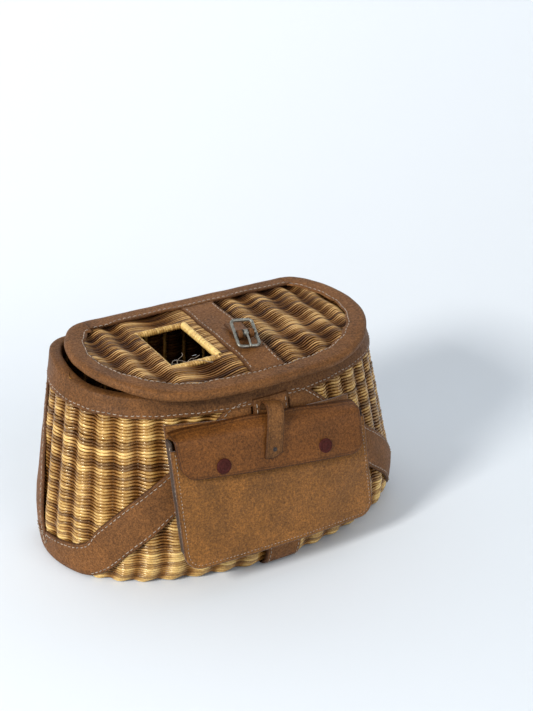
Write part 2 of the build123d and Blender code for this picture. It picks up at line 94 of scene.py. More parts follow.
POCKET_X, POCKET_LEVEL, POCKET_HALF_WIDTH, POCKET_LOW = -5.0, 100.0, 98.0, -73.0
POCKET_CORNER, PANEL_FACE, PANEL_BOW = 16.0, 13.0, 800.0
FLAP_HINGE, FLAP_SLANT, FLAP_LENGTH, FLAP_HALF_WIDTH, FLAP_CORNER = 47.0, 4.65, 45.0, 94.0, 14.0
FLAP_DROOP, SNAP_X, SNAP_DROP = 3.2, 52.0, 35.4
FLAP_FACE = PANEL_FACE + 1.6
TAB_X, TAB_SLANT, TAB_WIDTH, TAB_OUT, TAB_UP = -3.0, 11.0, 17.0, 9.5, 57.0


# ---- number helpers ---------------------------------------------------------------------
def smoothstep(value):
    share = np.clip(value, 0, 1)
    return share * share * (3 - 2 * share)


def unit(vectors):
    return vectors / np.maximum(np.linalg.norm(vectors, axis=-1, keepdims=True), 1e-9)


def ripple(points, wavelength, seed=1):
    """Smooth unevenness between about -1 and 1, the same each run."""
    dice = np.random.default_rng(seed)
    total = 0
    for _ in range(5):
        direction = unit(dice.normal(size=3))
        stretch = dice.uniform(0.6, 1.7) * TAU / wavelength
        total = total + np.sin(points @ direction * stretch + dice.uniform(0, TAU))
    return total / 2.6


def smooth_run(points, per=6, closed=False):
    """A smooth curve through a few points, as many samples between each two."""
    points = np.asarray(points, float)
    if closed:
        padded = np.concatenate([points[-1:], points, points[:2]])
    else:
        padded = np.concatenate([2 * points[:1] - points[1:2], points, 2 * points[-1:] - points[-2:-1]])
    share = np.linspace(0, 1, per, endpoint=False)[:, None]
    spans = []
    for a, b, c, d in zip(padded, padded[1:], padded[2:], padded[3:]):
        spans.append(0.5 * (2 * b + (c - a) * share + (2 * a - 5 * b + 4 * c - d) * share ** 2
                            + (3 * b - a - 3 * c + d) * share ** 3))
    run = np.concatenate(spans)
    return run if closed else np.concatenate([run, points[-1:]])


# ---- the surfaces that pieces lie on -----------------------------------------------------
def plan_radii(half_width, depth, corner, corner_turn, end_turn):
    first, second = corner_turn, corner_turn + end_turn
    a1, b1 = math.cos(first) - math.cos(second), 1 + math.cos(second)
    a2, b2 = 1 - math.sin(second), math.sin(second)
    reach = depth - corner * (1 - math.cos(first))
    end = (reach * b2 - half_width * b1) / (a1 * b2 - a2 * b1)
    front = (half_width - a2 * end) / b2
    straight = front * math.sin(second) - corner * math.sin(first)
    return end, front, straight - end * (math.sin(second) - math.sin(first))


def plan_shares(half_width, depth, corner, corner_turn, end_turn):
    """Where the back line, the corner and the end stop, as shares of half the outline."""
    end, front, straight = plan_radii(half_width, depth, corner, corner_turn, end_turn)
    lengths = np.array([straight, corner * corner_turn, end * end_turn,
                        front * (math.pi - corner_turn - end_turn)])
    return np.cumsum(lengths) / lengths.sum()


def plan_point(turn, size, offset, shares):
    """Point of an outline moved outwards; turn 0 is the back's middle and 0.5 the front's."""
    half_width, depth, corner, corner_turn, end_turn = size
    turn = np.mod(turn, 1.0)
    side = np.where(turn <= 0.5, 1.0, -1.0)
    way = 2 * np.where(turn <= 0.5, turn, 1 - turn)
    end, front, straight = plan_radii(*size)
    x = straight * np.clip(way / shares[0], 0, 1)
    y = offset + 0 * way
    heading = 0.0
    arcs = ((corner, corner_turn), (end, end_turn), (front, math.pi - corner_turn - end_turn))
    for (radius, bend), start, stop in zip(arcs, shares[:3], shares[1:]):
        swung = heading + bend * np.clip((way - start) / (stop - start), 0, 1)
        x = x + (radius + offset) * (np.sin(swung) - math.sin(heading))
        y = y - (radius + offset) * (math.cos(heading) - np.cos(swung))
        heading += bend
    return side * x, y


RIM = (RIM_HALF_WIDTH, RIM_DEPTH, CORNER_RADIUS, CORNER_TURN, END_TURN)
BELLY = (BELLY_HALF_WIDTH, BELLY_DEPTH, CORNER_RADIUS, CORNER_TURN, END_TURN)
FOOT = (FOOT_HALF_WIDTH, FOOT_DEPTH, CORNER_RADIUS, CORNER_TURN, END_TURN)
LID = (LID_HALF_WIDTH, LID_DEPTH, LID_CORNER_RADIUS, LID_CORNER_TURN, LID_END_TURN)
WALL_SHARES = plan_shares(*BELLY)
LID_SHARES = plan_shares(*LID)


def wall(turn, offset, height):
    """Point of the basket's outer surface, moved outwards by an offset; its rim sags in front."""
    turn, offset, height = np.broadcast_arrays(*(np.asarray(v, float) for v in (turn, offset, height)))
    low = (1 - (1 - np.clip(height / BELLY_HEIGHT, 0, 1)) ** 3) ** (1 / 3)
    high = (height - BELLY_HEIGHT).clip(0) / (RIM_HEIGHT - BELLY_HEIGHT)
    foot_x, foot_y = plan_point(turn, FOOT, offset, WALL_SHARES)
    belly_x, belly_y = plan_point(turn, BELLY, offset, WALL_SHARES)
    rim_x, rim_y = plan_point(turn, RIM, offset, WALL_SHARES)
    foot_y = foot_y + REAR_Y - FOOT_INSET
    belly_y = belly_y + REAR_Y + BELLY_BULGE
    x = foot_x + (belly_x - foot_x) * low + (rim_x - belly_x) * high
    y = foot_y + (belly_y - foot_y) * low + (REAR_Y + rim_y * math.cos(RIM_TILT) - belly_y) * high
    climb = RIM_HEIGHT - BELLY_HEIGHT + rim_y * math.sin(RIM_TILT)
    sag = RIM_SAG * smoothstep((40 - y) / 55) * (1 - 0.5 * smoothstep((x + 40) / 120))
    z = np.minimum(height, BELLY_HEIGHT) + climb * high - sag * smoothstep((height - 161.5) / 21)
    return np.stack([x, y, z], -1)


def front_turn(x, z, offset=0.0):
    """Turn and height of the front wall's point that stands at x, z in front view."""
    x, z = np.broadcast_arrays(np.asarray(x, float), np.asarray(z, float))
    near, far = np.full(x.shape, WALL_SHARES[1] / 2), np.full(x.shape, 0.5)
    for _ in range(26):
        turn = (near + far) / 2
        _, rim_y = plan_point(turn, RIM, offset, WALL_SHARES)
        climb = RIM_HEIGHT - BELLY_HEIGHT + rim_y * math.sin(RIM_TILT)
        height = np.where(z < BELLY_HEIGHT, z,
                          BELLY_HEIGHT + (z - BELLY_HEIGHT) * (RIM_HEIGHT - BELLY_HEIGHT) / climb)
        wide = wall(turn, offset, height)[..., 0] > np.abs(x)
        near, far = np.where(wide, turn, near), np.where(wide, far, turn)
    return np.where(x < 0, 1 - turn, turn), height


def front(x, z, offset):
    """Point over the basket's front at x, z in front view."""
    turn, height = front_turn(x, z, 0.0)
    return wall(turn, offset, height)


def lid(x, y, height):
    """Point over the lid: x and y as seen from above, height above its underside."""
    x, y, height = np.broadcast_arrays(*(np.asarray(v, float) for v in (x, y, height)))
    run = y - LID_REAR
    height = height - LID_SAG * smoothstep((-y - 35) / 57)
    return np.stack([x, LID_REAR + run * math.cos(RIM_TILT) - height * math.sin(RIM_TILT),
                     LID_BASE + run * math.sin(RIM_TILT) + height * math.cos(RIM_TILT)], -1)


def lid_edge(turn, inset, height):
    """Point over the lid, at an inset from its outline."""
    turn, inset, height = np.broadcast_arrays(*(np.asarray(v, float) for v in (turn, inset, height)))
    drawn_in = 2.6 * np.exp(-((np.mod(turn, 1.0) - 0.73) / 0.055) ** 2)
    x, y = plan_point(turn, LID, -inset - drawn_in * np.clip(1 - inset / 18, 0, 1), LID_SHARES)
    return lid(x + LID_SHIFT, y + LID_REAR, height)


class Plate:
    """A flat place with right, up and outward axes; calling it gives points in millimetres."""

    def __init__(self, origin, right, up):
        self.origin = np.asarray(origin, float)
        self.right, self.up = unit(np.asarray(right, float)), unit(np.asarray(up, float))
        self.out = np.cross(self.right, self.up)

    def __call__(self, across, up, out):
        return (self.origin + np.asarray(across, float)[..., None] * self.right
                + np.asarray(up, float)[..., None] * self.up + np.asarray(out, float)[..., None] * self.out)

    def slanted(self, across, up, out, degrees):
        """The same plate from another origin, its right axis dropped by some degrees."""
        angle = math.radians(degrees)
        return Plate(self(across, up, out), self.right * math.cos(angle) - self.up * math.sin(angle),
                     self.up * math.cos(angle) + self.right * math.sin(angle))


class Fold:
    """Leather bent along a path of (up, out) points on a plate: u across, v along, w above."""

    def __init__(self, plate, path, width, per=8):
        self.plate, self.width = plate, width
        self.path = smooth_run(path, per)
        steps = np.linalg.norm(np.diff(self.path, axis=0), axis=1)
        self.along = np.concatenate([[0], np.cumsum(steps)])
        self.length = self.along[-1]
        tangent = unit(np.gradient(self.path, axis=0))
        self.normal = np.stack([tangent[:, 1], -tangent[:, 0]], -1)

    def __call__(self, u, v, w):
        s = np.asarray(v, float) * self.length
        up, out, rise, push = (np.interp(s, self.along, column) for column in
                               (self.path[:, 0], self.path[:, 1], self.normal[:, 0], self.normal[:, 1]))
        return self.plate((np.asarray(u, float) - 0.5) * self.width, up + rise * w, out + push * w)


belly_point, rim_point = wall(0.5, 0, BELLY_HEIGHT), wall(0.5, 0, RIM_HEIGHT)
FRONT_SLOPE = (rim_point[1] - belly_point[1]) / (rim_point[2] - belly_point[2])
pocket_origin = (POCKET_X, belly_point[1] + (POCKET_LEVEL - BELLY_HEIGHT) * FRONT_SLOPE, POCKET_LEVEL)
POCKET = Plate(pocket_origin, (1, 0, 0), (0, FRONT_SLOPE, 1))
FLAP = POCKET.slanted(0, FLAP_HINGE, 0, FLAP_SLANT)
TAB = POCKET.slanted(TAB_X - POCKET_X, TAB_UP, TAB_OUT, TAB_SLANT)


def wall_depth(plate, across, up, offset):
    """How far out from a plate the basket's surface lies, moved outwards by an offset."""
    depth = np.zeros(np.broadcast(across, up).shape)
    for _ in range(3):
        guess = plate(across + 0 * depth, up + 0 * depth, depth)
        surface = front(guess[..., 0], guess[..., 2], offset)
        depth = depth + (guess[..., 1] - surface[..., 1]) / -plate.out[1]
    return depth


# ---- mesh helpers -----------------------------------------------------------------------
def grid_faces(index, wrap_rows=False, wrap_columns=False):
    """Quads between neighbours of an array of point numbers."""
    if wrap_rows:
        index = np.concatenate([index, index[:1]], 0)
    if wrap_columns:
        index = np.concatenate([index, index[:, :1]], 1)
    corners = (index[:-1, :-1], index[:-1, 1:], index[1:, 1:], index[1:, :-1])
    return np.stack(corners, -1).reshape(-1, 4)


def cap_faces(loop):
    """Quads that close a loop of an even number of points."""
    half = len(loop) // 2
    return np.array([(loop[i], loop[i + 1], loop[-2 - i], loop[-1 - i]) for i in range(half - 1)])


def tubes(centres, outward, half_out, half_side, sides=6, closed=False):
    """Round or flat strands: centres and outward are (strands, points, 3). Returns mesh arrays."""
    if closed:
        tangent = np.roll(centres, -1, 1) - np.roll(centres, 1, 1)
    else:
        tangent = np.gradient(centres, axis=1)
    sideways = unit(np.cross(tangent, outward))
    outward = unit(np.cross(sideways, tangent))
    angle = (np.arange(sides) + 0.5) * TAU / sides
    half_out = np.broadcast_to(half_out, centres.shape[:2])[..., None, None]
    half_side = np.broadcast_to(half_side, centres.shape[:2])[..., None, None]
    ring = (centres[:, :, None] + outward[:, :, None] * half_out * np.cos(angle)[:, None]
            + sideways[:, :, None] * half_side * np.sin(angle)[:, None])
    index = np.arange(ring[..., 0].size).reshape(ring.shape[:3])
    faces = []
    for strand in index:
        faces.append(grid_faces(strand, wrap_rows=closed, wrap_columns=True))
        if not closed:
            faces.append(cap_faces(strand[0][::-1]))
            faces.append(cap_faces(strand[-1]))
    return ring.reshape(-1, 3), np.concatenate(faces)


def per_ring(values, edge=0.0, sides=6):
    """A mark for every point round each ring of a strand, raised at its two sides and its back; as the deep
    mark it paints shade between the strands and on their backs.
    """
    angle = (np.arange(sides) + 0.5) * TAU / sides
    # painted shade: on the deep mark, edge darkens each strand where it meets its neighbours and behind
    # darkens its back
    behind = 0.7 * np.clip(-np.cos(angle), 0, 1) * (np.max(edge) > 0)
    marks = np.asarray(values, float).reshape(-1, 1) + edge * np.abs(np.sin(angle)) ** 6 + behind
    return marks.reshape(-1)


def new_piece(name, points, faces, body, material, marks=None, mend=False):
    """A mesh object in metres that rides on a body; marks are named values per point."""
    mesh = bpy.data.meshes.new(name)
    mesh.vertices.add(len(points))
    mesh.vertices.foreach_set("co", (np.asarray(points) * MM).astype(np.float32).ravel())
    mesh.loops.add(faces.size)
    mesh.loops.foreach_set("vertex_index", faces.astype(np.int32).ravel())
    mesh.polygons.add(len(faces))
    mesh.polygons.foreach_set("loop_start", np.arange(0, faces.size, 4, dtype=np.int32))
    mesh.update(calc_edges=True)
    mesh.validate()
    for mark, values in (marks or {}).items():
        attribute = mesh.attributes.new(mark, "FLOAT", "POINT")
        attribute.data.foreach_set("value", np.asarray(values, np.float32))
    if mend:
        work = bmesh.new()
        work.from_mesh(mesh)
        bmesh.ops.recalc_face_normals(work, faces=work.faces)
        work.to_mesh(mesh)
        work.free()
    mesh.shade_smooth()
    piece = bpy.data.objects.new(name, mesh)
    bpy.context.scene.collection.objects.link(piece)
    mesh.materials.append(material)
    if body:
        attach(piece, body)
    return piece


def joined(parts):
    """Several (points, faces) pairs as one."""
    points, faces, start = [], [], 0
    for part_points, part_faces in parts:
        points.append(part_points)
        faces.append(part_faces + start)
        start += len(part_points)
    return np.concatenate(points), np.concatenate(faces)


def sheet_lines(length, step):
    """Grid lines from 0 to 1 over a length, close together at both rims."""
    rim = np.minimum(np.array([0, 0.25, 0.7, 1.4, 2.4]) / length, 0.49)
    inner = np.linspace(rim[-1], 1 - rim[-1], max(3, int(length / step)))
    return np.concatenate([rim[:-1], inner, 1 - rim[-2::-1]])


def leather_sheet(name, place, width, height, body, material,
                  thickness=LEATHER, base=0.0, step=4.0, wave=0.25, seed=1):
    """A cut piece of leather with rounded edges: place(u, v, w), u and v from 0 to 1."""
    u, v = np.meshgrid(sheet_lines(width, step), sheet_lines(height, step))
    border = np.minimum(np.minimum(u, 1 - u) * width, np.minimum(v, 1 - v) * height)
    crown = np.sqrt(1 - (1 - np.clip(border / 1.4, 0, 1)) ** 2)
    swell = wave * ripple(place(u, v, base + 0 * u), 34, seed) * np.clip(border / 6, 0.3, 1)
    top = place(u, v, base + swell + thickness * (0.3 + 0.7 * crown))
    bottom = place(u, v, base + swell)
    index = np.arange(u.size).reshape(u.shape)
    under = index + u.size
    loop = np.concatenate([index[0, :-1], index[:-1, -1], index[-1, :0:-1], index[:0:-1, 0]])
    skirt = grid_faces(np.stack([loop, loop + u.size], 1), wrap_rows=True)
    faces = np.concatenate([grid_faces(index), grid_faces(under)[:, ::-1], skirt])
    points = np.concatenate([top.reshape(-1, 3), bottom.reshape(-1, 3)])
    marks = {"border": np.tile(border.reshape(-1), 2) / 10}
    return new_piece(name, points, faces, body, material, marks, mend=True)


def folded_run(name, place, turns, profile, body, material, closed=False, wave=0.3, seed=1):
    """Leather folded to one profile of (offset, height) points along a run of turns."""
    profile = smooth_run(profile, 3, closed=True)
    turn, _ = np.broadcast_arrays(np.asarray(turns)[:, None], profile[None, :, 0])
    flat = place(turn, profile[:, 0], profile[:, 1])
    outward = profile - profile.mean(0)
    outward = outward / np.linalg.norm(outward, axis=1).max()
    swell = wave * ripple(flat, 26, seed)
    points = place(turn, profile[:, 0] + swell * outward[:, 0], profile[:, 1] + swell * outward[:, 1])
    index = np.arange(turn.size).reshape(turn.shape)
    faces = [grid_faces(index, wrap_rows=closed, wrap_columns=True)]
    if not closed:
        faces += [cap_faces(index[0]), cap_faces(index[-1][::-1])]
    marks = {"border": np.full(turn.size, 1.0)}
    return new_piece(name, points.reshape(-1, 3), np.concatenate(faces), body, material,
                     marks, mend=True)


def trace(place, u, v, w):
    """Points along a path over a surface, and the outward directions there."""
    u, v, w = np.broadcast_arrays(*(np.asarray(value, float) for value in (u, v, w)))
    points = place(u, v, w)
    return points, unit(place(u, v, w + 1.0) - points)


def stitched(name, runs, body, thread, pitch=4.6, length=3.0, radius=0.42, seed=3):
    """Thread stitches along runs of (points, outward directions), as one piece."""
    dice = np.random.default_rng(seed)
    parts = []
    for points, outward in runs:
        steps = np.linalg.norm(np.diff(points, axis=0), axis=1)
        along = np.concatenate([[0], np.cumsum(steps)])
        starts = np.arange(pitch * 0.4, along[-1] - length, pitch)
        starts = starts + dice.uniform(-0.25, 0.25, len(starts))
        share = np.linspace(0, 1, 6)
        spots = starts[:, None] + share * length
        centres = np.stack([np.interp(spots, along, points[:, i]) for i in range(3)], -1)
        normals = np.stack([np.interp(spots, along, outward[:, i]) for i in range(3)], -1)
        side = unit(np.cross(np.gradient(centres, axis=1), normals))
        sway = dice.uniform(-0.25, 0.25, (len(starts), 2))
        drift = sway[:, :1] * (1 - share) + sway[:, 1:] * share
        lift = radius * (2.2 * np.sin(math.pi * share) ** 0.7 - 1.3)
        centres = centres + normals * lift[None, :, None] + side * drift[..., None]
        parts.append(tubes(centres, normals, radius * 0.85, radius, sides=6))
    points, faces = joined(parts)
    return new_piece(name, points, faces, body, thread)


def even_marks(points, tone, deep):
    """One tone and one depth for a whole piece; a depth above 0.2 paints the whole piece evenly darker, as
    shade.
    """
    return {"tone": np.full(len(points), tone), "deep": np.full(len(points), deep)}


# ---- materials ----------------------------------------------------------------------------
def shade(tree, kind, sockets=None, **settings):
    """Adds a node; sockets, by name or number, are set to values or linked from other sockets."""
    made = tree.nodes.new(kind)
    for key, value in settings.items():
        setattr(made, key, value)
    for key, value in (sockets or {}).items():
        if isinstance(value, bpy.types.NodeSocket):
            tree.links.new(value, made.inputs[key])
        else:
            made.inputs[key].default_value = value
    return made


def roughen(tree, surface, value, span, rough):
    """Roughness that follows a value: rough[0] at span[0] and rough[1] at span[1]."""
    made = shade(tree, "ShaderNodeMapRange", {"Value": value, "From Min": span[0], "From Max": span[1],
                                              "To Min": rough[0], "To Max": rough[1]})
    tree.links.new(made.outputs[0], surface.inputs["Roughness"])


def bump(tree, surface, height, strength, distance):
    made = shade(tree, "ShaderNodeBump", {"Height": height, "Strength": strength, "Distance": distance})
    tree.links.new(made.outputs[0], surface.inputs["Normal"])


def ramp(tree, factor, stops):
    """A colour ramp fed by a factor; stops are (position, colour)."""
    made = shade(tree, "ShaderNodeValToRGB", {"Fac": factor})
    elements = made.color_ramp.elements
    while len(elements) < len(stops):
        elements.new(0.5)
    for element, (position, colour) in zip(elements, stops):
        element.position = position
        element.color = (*colour, 1.0)
    return made.outputs["Color"]


def noise(tree, vector, scale, detail=3.0, roughness=0.5, distortion=0.0):
    made = shade(tree, "ShaderNodeTexNoise", {"Vector": vector, "Scale": scale, "Detail": detail,
                                              "Roughness": roughness, "Distortion": distortion})
    return made.outputs["Fac"]


def blended(tree, kind, factor, first, second):
    """Mixes two colours with a blend type."""
    return shade(tree, "ShaderNodeMix", {0: factor, 6: first, 7: second}, data_type="RGBA",
                 blend_type=kind).outputs[2]


def fresh_material(name):
    material = bpy.data.materials.new(name)
    material.use_nodes = True
    tree = material.node_tree
    tree.nodes.clear()
    coordinates = shade(tree, "ShaderNodeTexCoord").outputs["Object"]
    surface = shade(tree, "ShaderNodeBsdfPrincipled")
    output = shade(tree, "ShaderNodeOutputMaterial")
    tree.links.new(surface.outputs[0], output.inputs[0])
    return material, tree, coordinates, surface


def scaled(colour, factor):
    return tuple(min(1.0, channel * factor) for channel in colour)


def leather_material(name, colour, edge_dark=0.62, rough=(0.5, 0.72), sheen=0.0, grain=0.35):
    """Worn leather: mottled colour, fine pores, a creased and darkened edge."""
    material, tree, where, surface = fresh_material(name)
    patches = noise(tree, where, 26, 4, 0.6, 0.4)
    mottle = noise(tree, where, 430, 5, 0.65)
    mixed = shade(tree, "ShaderNodeMix", {0: 0.62, 2: patches, 3: mottle}, data_type="FLOAT")
    body = ramp(tree, mixed.outputs[0], [(0.36, scaled(colour, 0.6)), (0.5, colour),
                                         (0.64, scaled(colour, 1.55))])
    border = shade(tree, "ShaderNodeAttribute", attribute_name="border").outputs["Fac"]
    lines = ramp(tree, border, [(0.0, (0.5, 0.44, 0.4)), (0.09, (edge_dark - 0.1,) * 3),
                                (0.16, (1.0, 1.0, 1.0)), (0.27, (edge_dark + 0.1,) * 3),
                                (0.36, (0.98,) * 3), (0.6, (1.0, 1.0, 1.0))])
    toned = blended(tree, "MULTIPLY", 1.0, body, lines)
    specks = noise(tree, where, 780, 2, 0.5)
    dirt_and_shade = ramp(tree, specks, [(0.38, (0.42, 0.36, 0.33)), (0.5, (0.95, 0.95, 0.95)),
                               (0.62, (1.25, 1.22, 1.18))])
    worn = blended(tree, "MULTIPLY", 0.55, toned, dirt_and_shade)
    tree.links.new(worn, surface.inputs["Base Color"])
    roughen(tree, surface, mottle, (0.3, 0.7), (rough[1], rough[0]))
    pores = shade(tree, "ShaderNodeTexVoronoi", {"Vector": where, "Scale": 620.0}).outputs["Distance"]
    relief = shade(tree, "ShaderNodeMath", {0: pores, 1: mottle}, operation="ADD").outputs[0]
    bump(tree, surface, relief, grain, 0.0006)
    surface.inputs["Specular IOR Level"].default_value = 0.22
    surface.inputs["Sheen Weight"].default_value = sheen
    surface.inputs["Sheen Roughness"].default_value = 0.5
    return material


def willow_material(name, dark, middle, light, gloss=0.2, varnish=0.0, shine=1.0):
    """Varnished split willow: each strand its own tone, painted shade deep in the weave."""
    material, tree, where, surface = fresh_material(name)
    tone = shade(tree, "ShaderNodeAttribute", attribute_name="tone").outputs["Fac"]
    streak = noise(tree, where, 420, 3, 0.6)
    patches = noise(tree, where, 18, 3, 0.55)
    mixed = shade(tree, "ShaderNodeMath", {0: tone, 1: streak}, operation="ADD").outputs[0]
    summed = shade(tree, "ShaderNodeMath", {0: mixed, 1: patches}, operation="ADD").outputs[0]
    share = shade(tree, "ShaderNodeMath", {0: summed, 1: 1 / 3}, operation="MULTIPLY").outputs[0]
    colour = ramp(tree, share, [(0.3, dark), (0.5, middle), (0.68, light)])
    deep = shade(tree, "ShaderNodeAttribute", attribute_name="deep").outputs["Fac"]
    # painted shade: the deep mark darkens the willow down to near black in the weave's valleys and crevices
    dirt_and_shade = ramp(tree, deep, [(0.2, (1.0, 1.0, 1.0)), (0.52, (0.5, 0.38, 0.3)),
                             (0.85, (0.12, 0.075, 0.055))])
    toned = blended(tree, "MULTIPLY", 1.0, colour, dirt_and_shade)
    tree.links.new(toned, surface.inputs["Base Color"])
    roughen(tree, surface, streak, (0.3, 0.7), (gloss - 0.08, gloss + 0.14))
    bump(tree, surface, streak, 0.25, 0.0004)
    gleam = shade(tree, "ShaderNodeMapRange", {"Value": deep, "From Min": 0.15, "From Max": 0.7,
                                               "To Min": shine, "To Max": 0.08})
    tree.links.new(gleam.outputs[0], surface.inputs["Specular IOR Level"])
    surface.inputs["Coat Weight"].default_value = varnish
    surface.inputs["Coat Roughness"].default_value = 0.2
    surface.inputs["Specular Tint"].default_value = (1.0, 0.86, 0.6, 1.0)
    return material


def metal_material(name, colour, rough=0.34, metallic=1.0, rust=0.5, shine=0.5):
    """Dull metal or enamel with spots of tarnish."""
    material, tree, where, surface = fresh_material(name)
    spots = noise(tree, where, 480, 5, 0.65)
    tinted = ramp(tree, spots, [(0.38, scaled(colour, rust)), (0.56, colour), (0.75, scaled(colour, 1.2))])
    tree.links.new(tinted, surface.inputs["Base Color"])
    roughen(tree, surface, spots, (0.35, 0.65), (rough + 0.2, rough))
    bump(tree, surface, spots, 0.15, 0.0003)
    surface.inputs["Metallic"].default_value = metallic
    surface.inputs["Specular IOR Level"].default_value = shine
    return material


def thread_material(name, colour):
    """Waxed linen thread, dirty in places."""
    material, tree, where, surface = fresh_material(name)
    soil = noise(tree, where, 150, 4, 0.6)
    tinted = ramp(tree, soil, [(0.35, scaled(colour, 0.45)), (0.52, colour), (0.7, scaled(colour, 1.3))])
    tree.links.new(tinted, surface.inputs["Base Color"])
    surface.inputs["Roughness"].default_value = 0.7
    return material


MATERIALS = {}


def material(key):
    """Each finish is made once, from the colours in the scene's properties."""
    if key in MATERIALS:
        return MATERIALS[key]
    colours = bpy.context.scene.creel_colours
    makers = {
        "wall_willow": lambda: willow_material("wall willow", colours.willow_dark, colours.willow,
                                               colours.willow_light),
        "lid_willow": lambda: willow_material("lid willow", colours.lid_dark, colours.lid,
                                              colours.lid_light, 0.42, 0.08, 0.35),
        # painted light: a lighter copy of the wall willow for the fish hole's right-hand wraps, which catch
        # the key light
        "lit_willow": lambda: willow_material("lit willow", colours.willow,
                                                 scaled(colours.willow_light, 0.95),
                                                 scaled(colours.willow_light, 1.35), 0.26),
        "harness": lambda: leather_material("harness leather", colours.harness),
        "binding": lambda: leather_material("binding leather", scaled(colours.harness, 0.95)),
        "rim": lambda: leather_material("rim leather", scaled(colours.harness, 0.76)),
        "suede": lambda: leather_material("pocket suede", colours.suede, 0.66, (0.72, 0.9), 0.25, 0.5),
        "gusset": lambda: leather_material("gusset suede", colours.gusset, 0.7, (0.7, 0.9), 0.1, 0.5),
        "flap": lambda: leather_material("flap leather", colours.flap, 0.5, (0.42, 0.6), 0.0, 0.25),
        "tab": lambda: leather_material("tab leather", colours.tab, 0.6, (0.5, 0.7)),
        "steel": lambda: metal_material("nickel wire", colours.steel),
        "cap": lambda: metal_material("enamelled cap", colours.cap, 0.5, 0.0, 0.7, 0.12),
        "thread": lambda: thread_material("linen thread", colours.thread),
        # painted shade: near-black for the inside of the closure strap's punched hole
        "hole_shade": lambda: thread_material("punched hole", (0.02, 0.013, 0.01)),
    }
    MATERIALS[key] = makers[key]()
    return MATERIALS[key]


def dress(node, key):
    """Gives a frame node its finish."""
    slots = frame["nodes"][node].data.materials
    slots.clear()
    slots.append(material(key))


# ---- properties -----------------------------------------------------------------------------
class CreelWeave(PropertyGroup):
    strand_pitch: FloatProperty(name="Strand pitch", description="Height of one woven row",
                                default=0.0028, min=0.001, precision=5, unit="LENGTH")
    lid_pitch: FloatProperty(name="Lid strand pitch", description="Width of one woven row of the lid",
                             default=0.0026, min=0.001, precision=5, unit="LENGTH")
    stake_pitch: FloatProperty(name="Stake pitch", description="Distance between upright stakes",
                               default=0.0112, min=0.005, precision=4, unit="LENGTH")
    bulge: FloatProperty(name="Bulge", description="How far a strand swings in and out round a stake",
                         default=0.0018, min=0.0, precision=5, unit="LENGTH")
    steps: IntProperty(name="Steps per stake", description="Points of a strand between two stakes",
                       default=6, min=2, max=12)


class CreelLeather(PropertyGroup):
    stitch_pitch: FloatProperty(name="Stitch pitch", description="Distance from stitch to stitch",
                                default=0.0052, min=0.002, precision=4, unit="LENGTH")
    stitch_length: FloatProperty(name="Stitch length", description="Length of thread that shows",
                                 default=0.0036, min=0.001, precision=4, unit="LENGTH")


def colour_property(name, description, default):
    return FloatVectorProperty(name=name, description=description, default=default, size=3,
                               min=0.0, max=1.0, subtype="COLOR")


class CreelColours(PropertyGroup):
    willow_dark: colour_property("Dark willow", "Shaded and dirty strands", (0.17, 0.082, 0.026))
    willow: colour_property("Willow", "Most strands", (0.46, 0.25, 0.064))
    willow_light: colour_property("Light willow", "Bleached strands", (0.82, 0.55, 0.19))
    lid_dark: colour_property("Dark lid willow", "Shaded strands of the lid", (0.10, 0.045, 0.022))
    lid: colour_property("Lid willow", "Most strands of the lid", (0.30, 0.15, 0.04))
    lid_light: colour_property("Light lid willow", "Bleached strands of the lid", (0.66, 0.41, 0.16))
    gusset: colour_property("Gusset", "Darker sides of the pocket", (0.055, 0.03, 0.017))
    harness: colour_property("Harness leather", "Rim, bands and straps", (0.168, 0.068, 0.018))
    suede: colour_property("Pocket suede", "Pocket panel and sides", (0.215, 0.086, 0.015))
    flap: colour_property("Flap leather", "Pocket flap", (0.15, 0.054, 0.011))
    tab: colour_property("Strap leather", "Closure strap", (0.148, 0.062, 0.017))
    steel: colour_property("Wire", "Buckle, prong and rings", (0.37, 0.36, 0.31))
    cap: colour_property("Snap caps", "Enamelled caps", (0.06, 0.012, 0.009))
    thread: colour_property("Thread", "Stitches", (0.37, 0.29, 0.22))


class CreelStage(PropertyGroup):
    azimuth: FloatProperty(name="Azimuth", description="Camera direction round the creel, degrees",
                           default=-30.762)
    elevation: FloatProperty(name="Elevation", description="Camera height above the horizon, degrees",
                             default=25.309)
    distance: FloatProperty(name="Distance", description="Camera to the point it looks at",
                            default=1.3213, unit="LENGTH")
    floor: colour_property("Floor", "Floor and backdrop", (0.78, 0.82, 0.86))


